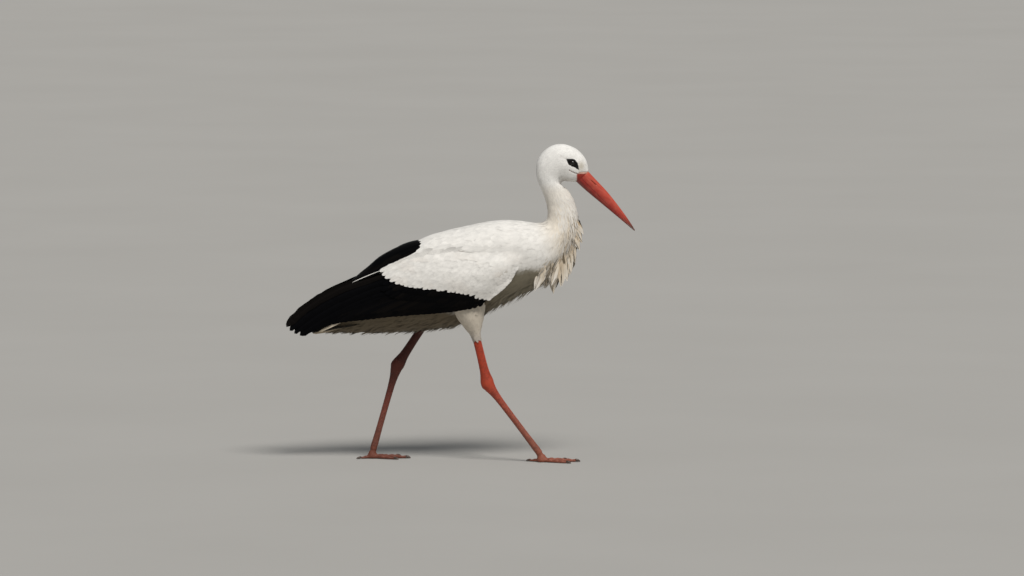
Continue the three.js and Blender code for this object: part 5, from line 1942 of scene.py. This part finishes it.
def lay_scales(name, sheet, s, a, look):
    """Low six-sided domes at places on a sheet."""
    angle = np.arange(6) * np.pi / 3 + np.pi / 6
    _, along, around, _ = sheet.at(s, a)
    u, v = unit(along), unit(around)
    points = []
    rng = np.random.default_rng(len(s))
    end = np.minimum(s, sheet.rows - 1 - s)[:, None]
    sink = 0.5 * (1 - smooth(0, 5, end)) + rng.normal(0, 0.06, end.shape)
    for radius, height in ((1.0, -0.4), (0.76, 0.0)):
        for t in angle:
            offset = (u * math.cos(t) + v * math.sin(t)) * SCALE_SIZE * radius * MM
            place = sheet.at(*sheet.moved(s, a, offset))
            points.append(place[0] + place[3] * (height - sink) * MM)
    place = sheet.at(s, a)
    points.append(place[0] + place[3] * (0.12 - sink) * MM)
    points.append(place[0] - place[3] * (0.7 + sink) * MM)
    points = np.stack(points, 1)
    faces = []
    for i in range(6):
        k = (i + 1) % 6
        faces += [(i, k, 6 + k), (i, 6 + k, 6 + i), (6 + i, 6 + k, 12), (13, k, i)]
    faces = np.array(faces)
    first = points[0, faces[0]]
    facing = np.dot(np.cross(first[1] - first[0], first[2] - first[0]), first[0] - points[0, 13])
    if facing < 0:
        faces = faces[:, ::-1]
    count = len(s)
    base = np.arange(count)[:, None, None] * 14
    piece = add_mesh(name, points.reshape(-1, 3), (faces[None] + base).reshape(-1, 3))
    add_uv(piece, "OFBake", bake_places(s, a, np.tile([-1, 1], 7), np.tile([0, 0, 1, 1], 4)[:14]))
    each = rng.normal(1, 0.1, (count, 1, 1))
    add_tint(piece, (leg_tint(points) * each).reshape(-1, 3))
    material, slot = look
    piece.data.materials.append(material)
    return piece


def toe_line(side, toe):
    """A toe's directions along and across, the foot's middle on the floor, and its length and thickness."""
    _, _, foot, heading = LEGS[side]
    degrees, length, thickness = TOE_SHAPES[toe]
    turn = math.radians(heading + SIDES[side] * degrees)
    along = np.array((math.cos(turn), math.sin(turn), 0))
    return along, np.array((-along[1], along[0], 0)), np.array((foot[0], foot[1], 0.0)), length, thickness


def toe_sheet(side, toe):
    """The upper side of a toe. s runs along it in millimetres, a goes across."""
    along, across, foot, length, thickness = toe_line(side, toe)
    tree = tree_of([f"toe_{toe}_{side}", f"foot_{side}"])
    angles = np.radians(np.linspace(-85, 85, 19))
    grid = np.full((round(length) - 4, len(angles), 3), np.nan)
    centres = np.zeros_like(grid)
    for i in range(len(grid)):
        centre = foot + along * (i + 4) + (0, 0, thickness * 0.38)
        centres[i] = centre * MM
        for j, angle in enumerate(angles):
            out = Vector(across * math.sin(angle) + np.array((0, 0, math.cos(angle))))
            hit = tree.ray_cast(Vector(centre * MM) + out * 0.02, -out, 0.02)[0]
            if hit:
                grid[i, j] = hit
    return Sheet(blurred(filled(grid), 1, False), False, centres)


def toe_scutes(side, toe, look):
    """Plates across a toe's upper side, overlapping like tiles."""
    sheet = toe_sheet(side, toe)
    thickness = TOE_SHAPES[toe][2]
    root = np.arange(8, sheet.rows - 3, SCUTE_STEP)
    share = station_shares(4)[None]
    spine_s = root[:, None] + (SCUTE_STEP + 1.2) * share
    spine_a = np.full_like(spine_s, (sheet.columns - 1) / 2)
    count = len(root)
    rng = np.random.default_rng(140)
    shape = {
        "half": np.linspace(1, TOE_TAPER, count) * thickness * 0.46 * MM,
        "depth": 0.75 * MM,
        "lift": rng.normal(-0.3, 0.06, count) * MM,
        "ragged": 0.0,
        "soft": 0.0,
    }
    spine = (spine_s, spine_a)
    return lay_feathers(f"scutes_{toe}_{side}", sheet, spine, shape, scute_tint, look, 7, SCUTE, 141)


def claw(side, toe, material):
    """A short blunt claw, curved down to the floor."""
    along, across, foot, length, thickness = toe_line(side, toe)
    up = np.array((0, 0, 1))
    share = np.linspace(-0.25, 1, 14)
    size = thickness / 2 * 0.58
    high = size * np.interp(share, [-0.25, 0, 0.5, 0.85, 1], [0.9, 1, 0.8, 0.45, 0.12])
    wide = size * np.interp(share, [-0.25, 0, 0.5, 0.85, 1], [0.9, 1, 0.85, 0.5, 0.15])
    centre_z = 0.9 + size * np.interp(share, [-0.25, 0, 0.6, 1], [1.05, 1.0, 0.75, 0.2])
    angle = np.arange(16) * 2 * np.pi / 16
    centre = foot + along * (length + CLAW_LENGTH * share)[:, None] + up * centre_z[:, None]
    rings = (centre[:, None] + across * (wide[:, None] * np.cos(angle))[..., None]
             + up * (high[:, None] * np.sin(angle))[..., None])
    piece = capped_loft(f"claw_{toe}_{side}_horn", rings * MM)
    piece.data.materials.append(material)
    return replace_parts(piece, f"claw_{toe}_{side}")


# ---------- Stage ----------

def make_floor():
    """A plain floor that fills the frame."""
    bpy.ops.mesh.primitive_plane_add(size=160, location=(0, 0, 0))
    floor = bpy.context.object
    floor.name = "floor"
    floor.data.materials.append(floor_material())


def make_lights():
    """A soft sun and an even sky."""
    sun = bpy.data.lights.new("key", "SUN")
    sun.energy = SUN_STRENGTH
    sun.angle = math.radians(SUN_ANGLE)
    sun.color = SUN_COLOUR
    key = bpy.data.objects.new("key", sun)
    key.rotation_euler = Vector(SUN_FROM).to_track_quat("Z", "Y").to_euler()
    bpy.context.scene.collection.objects.link(key)
    world = bpy.data.worlds.new("studio")
    world.use_nodes = True
    background = world.node_tree.nodes["Background"]
    background.inputs["Color"].default_value = SKY_COLOUR
    background.inputs["Strength"].default_value = SKY_STRENGTH
    bpy.context.scene.world = world
    bpy.context.scene.view_settings.view_transform = "Standard"


def make_camera():
    """The photograph's framing."""
    data = bpy.data.cameras.new("camera")
    data.lens = LENS
    data.sensor_width = SENSOR
    data.clip_end = 200
    camera = bpy.data.objects.new("camera", data)
    lift = math.radians(VIEW_ELEVATION)
    back = Vector((0, -math.cos(lift), math.sin(lift)))
    camera.location = Vector(VIEW_TARGET) + back * VIEW_DISTANCE
    camera.rotation_euler = back.to_track_quat("Z", "Y").to_euler()
    bpy.context.scene.collection.objects.link(camera)
    bpy.context.scene.camera = camera


def build():
    """Everything in the scene."""
    make_camera()
    make_lights()
    make_floor()
    white = (feather_material("white_feathers", 0.78, 0.045, 0.12, 0.25), "white_plumage")
    black = (feather_material("black_feathers", 0.46, 0.2, 0.0, 0.04), "black_plumage")
    scales = (scale_material(), "leg_skin")
    horn = bill_material()
    nails = claw_material()
    eyes = eye_material()
    make_skin()
    body = body_sheet(BODY_NODES, 0.6)
    shoulders = body_sheet(BODY_NODES + [f"wing_{side}_coverts" for side in SIDES], 1.2)
    body_coat(body, "coat_head", (0, 4), 110000, 11, white, (5, 3, SOFT))
    body_coat(body, "coat_neck", (4, 8), 60000, 21, white, (7, 3, SOFT))
    body_coat(shoulders, "coat_back", (8, 15), 26000, 31, white, (9, 5, CONTOUR), above_wing)
    body_coat(body, "coat_belly", (8, 15), 20000, 35, white, (9, 5, CONTOUR), below_wing)
    belly_fringe(body, white)
    ruff(body, white)
    ruff_locks(body, white)
    back = back_sheet()
    scapulars(back, black)
    tail(white)
    for name, side in SIDES.items():
        thigh_coat(name, white, 41 if side < 0 else 51)
        wing = wing_sheet(side)
        secondaries(wing, name, side, black)
        primaries(wing, name, side, black)
        black_coverts(wing, name, side, black)
        white_coverts(wing, name, white)
        pale_edges(wing, name, side, white)
        overhang(shoulders, name, side, white)
        crease(shoulders, name, side, white)
        eye(name, side, eyes)
        leg_scales(name, scales)
        for toe in TOES:
            toe_scutes(name, toe, scales)
            claw(name, toe, nails)
    mandible("bill_upper", 1, 1, horn)
    mandible("bill_lower", 3, -1, horn)


build()
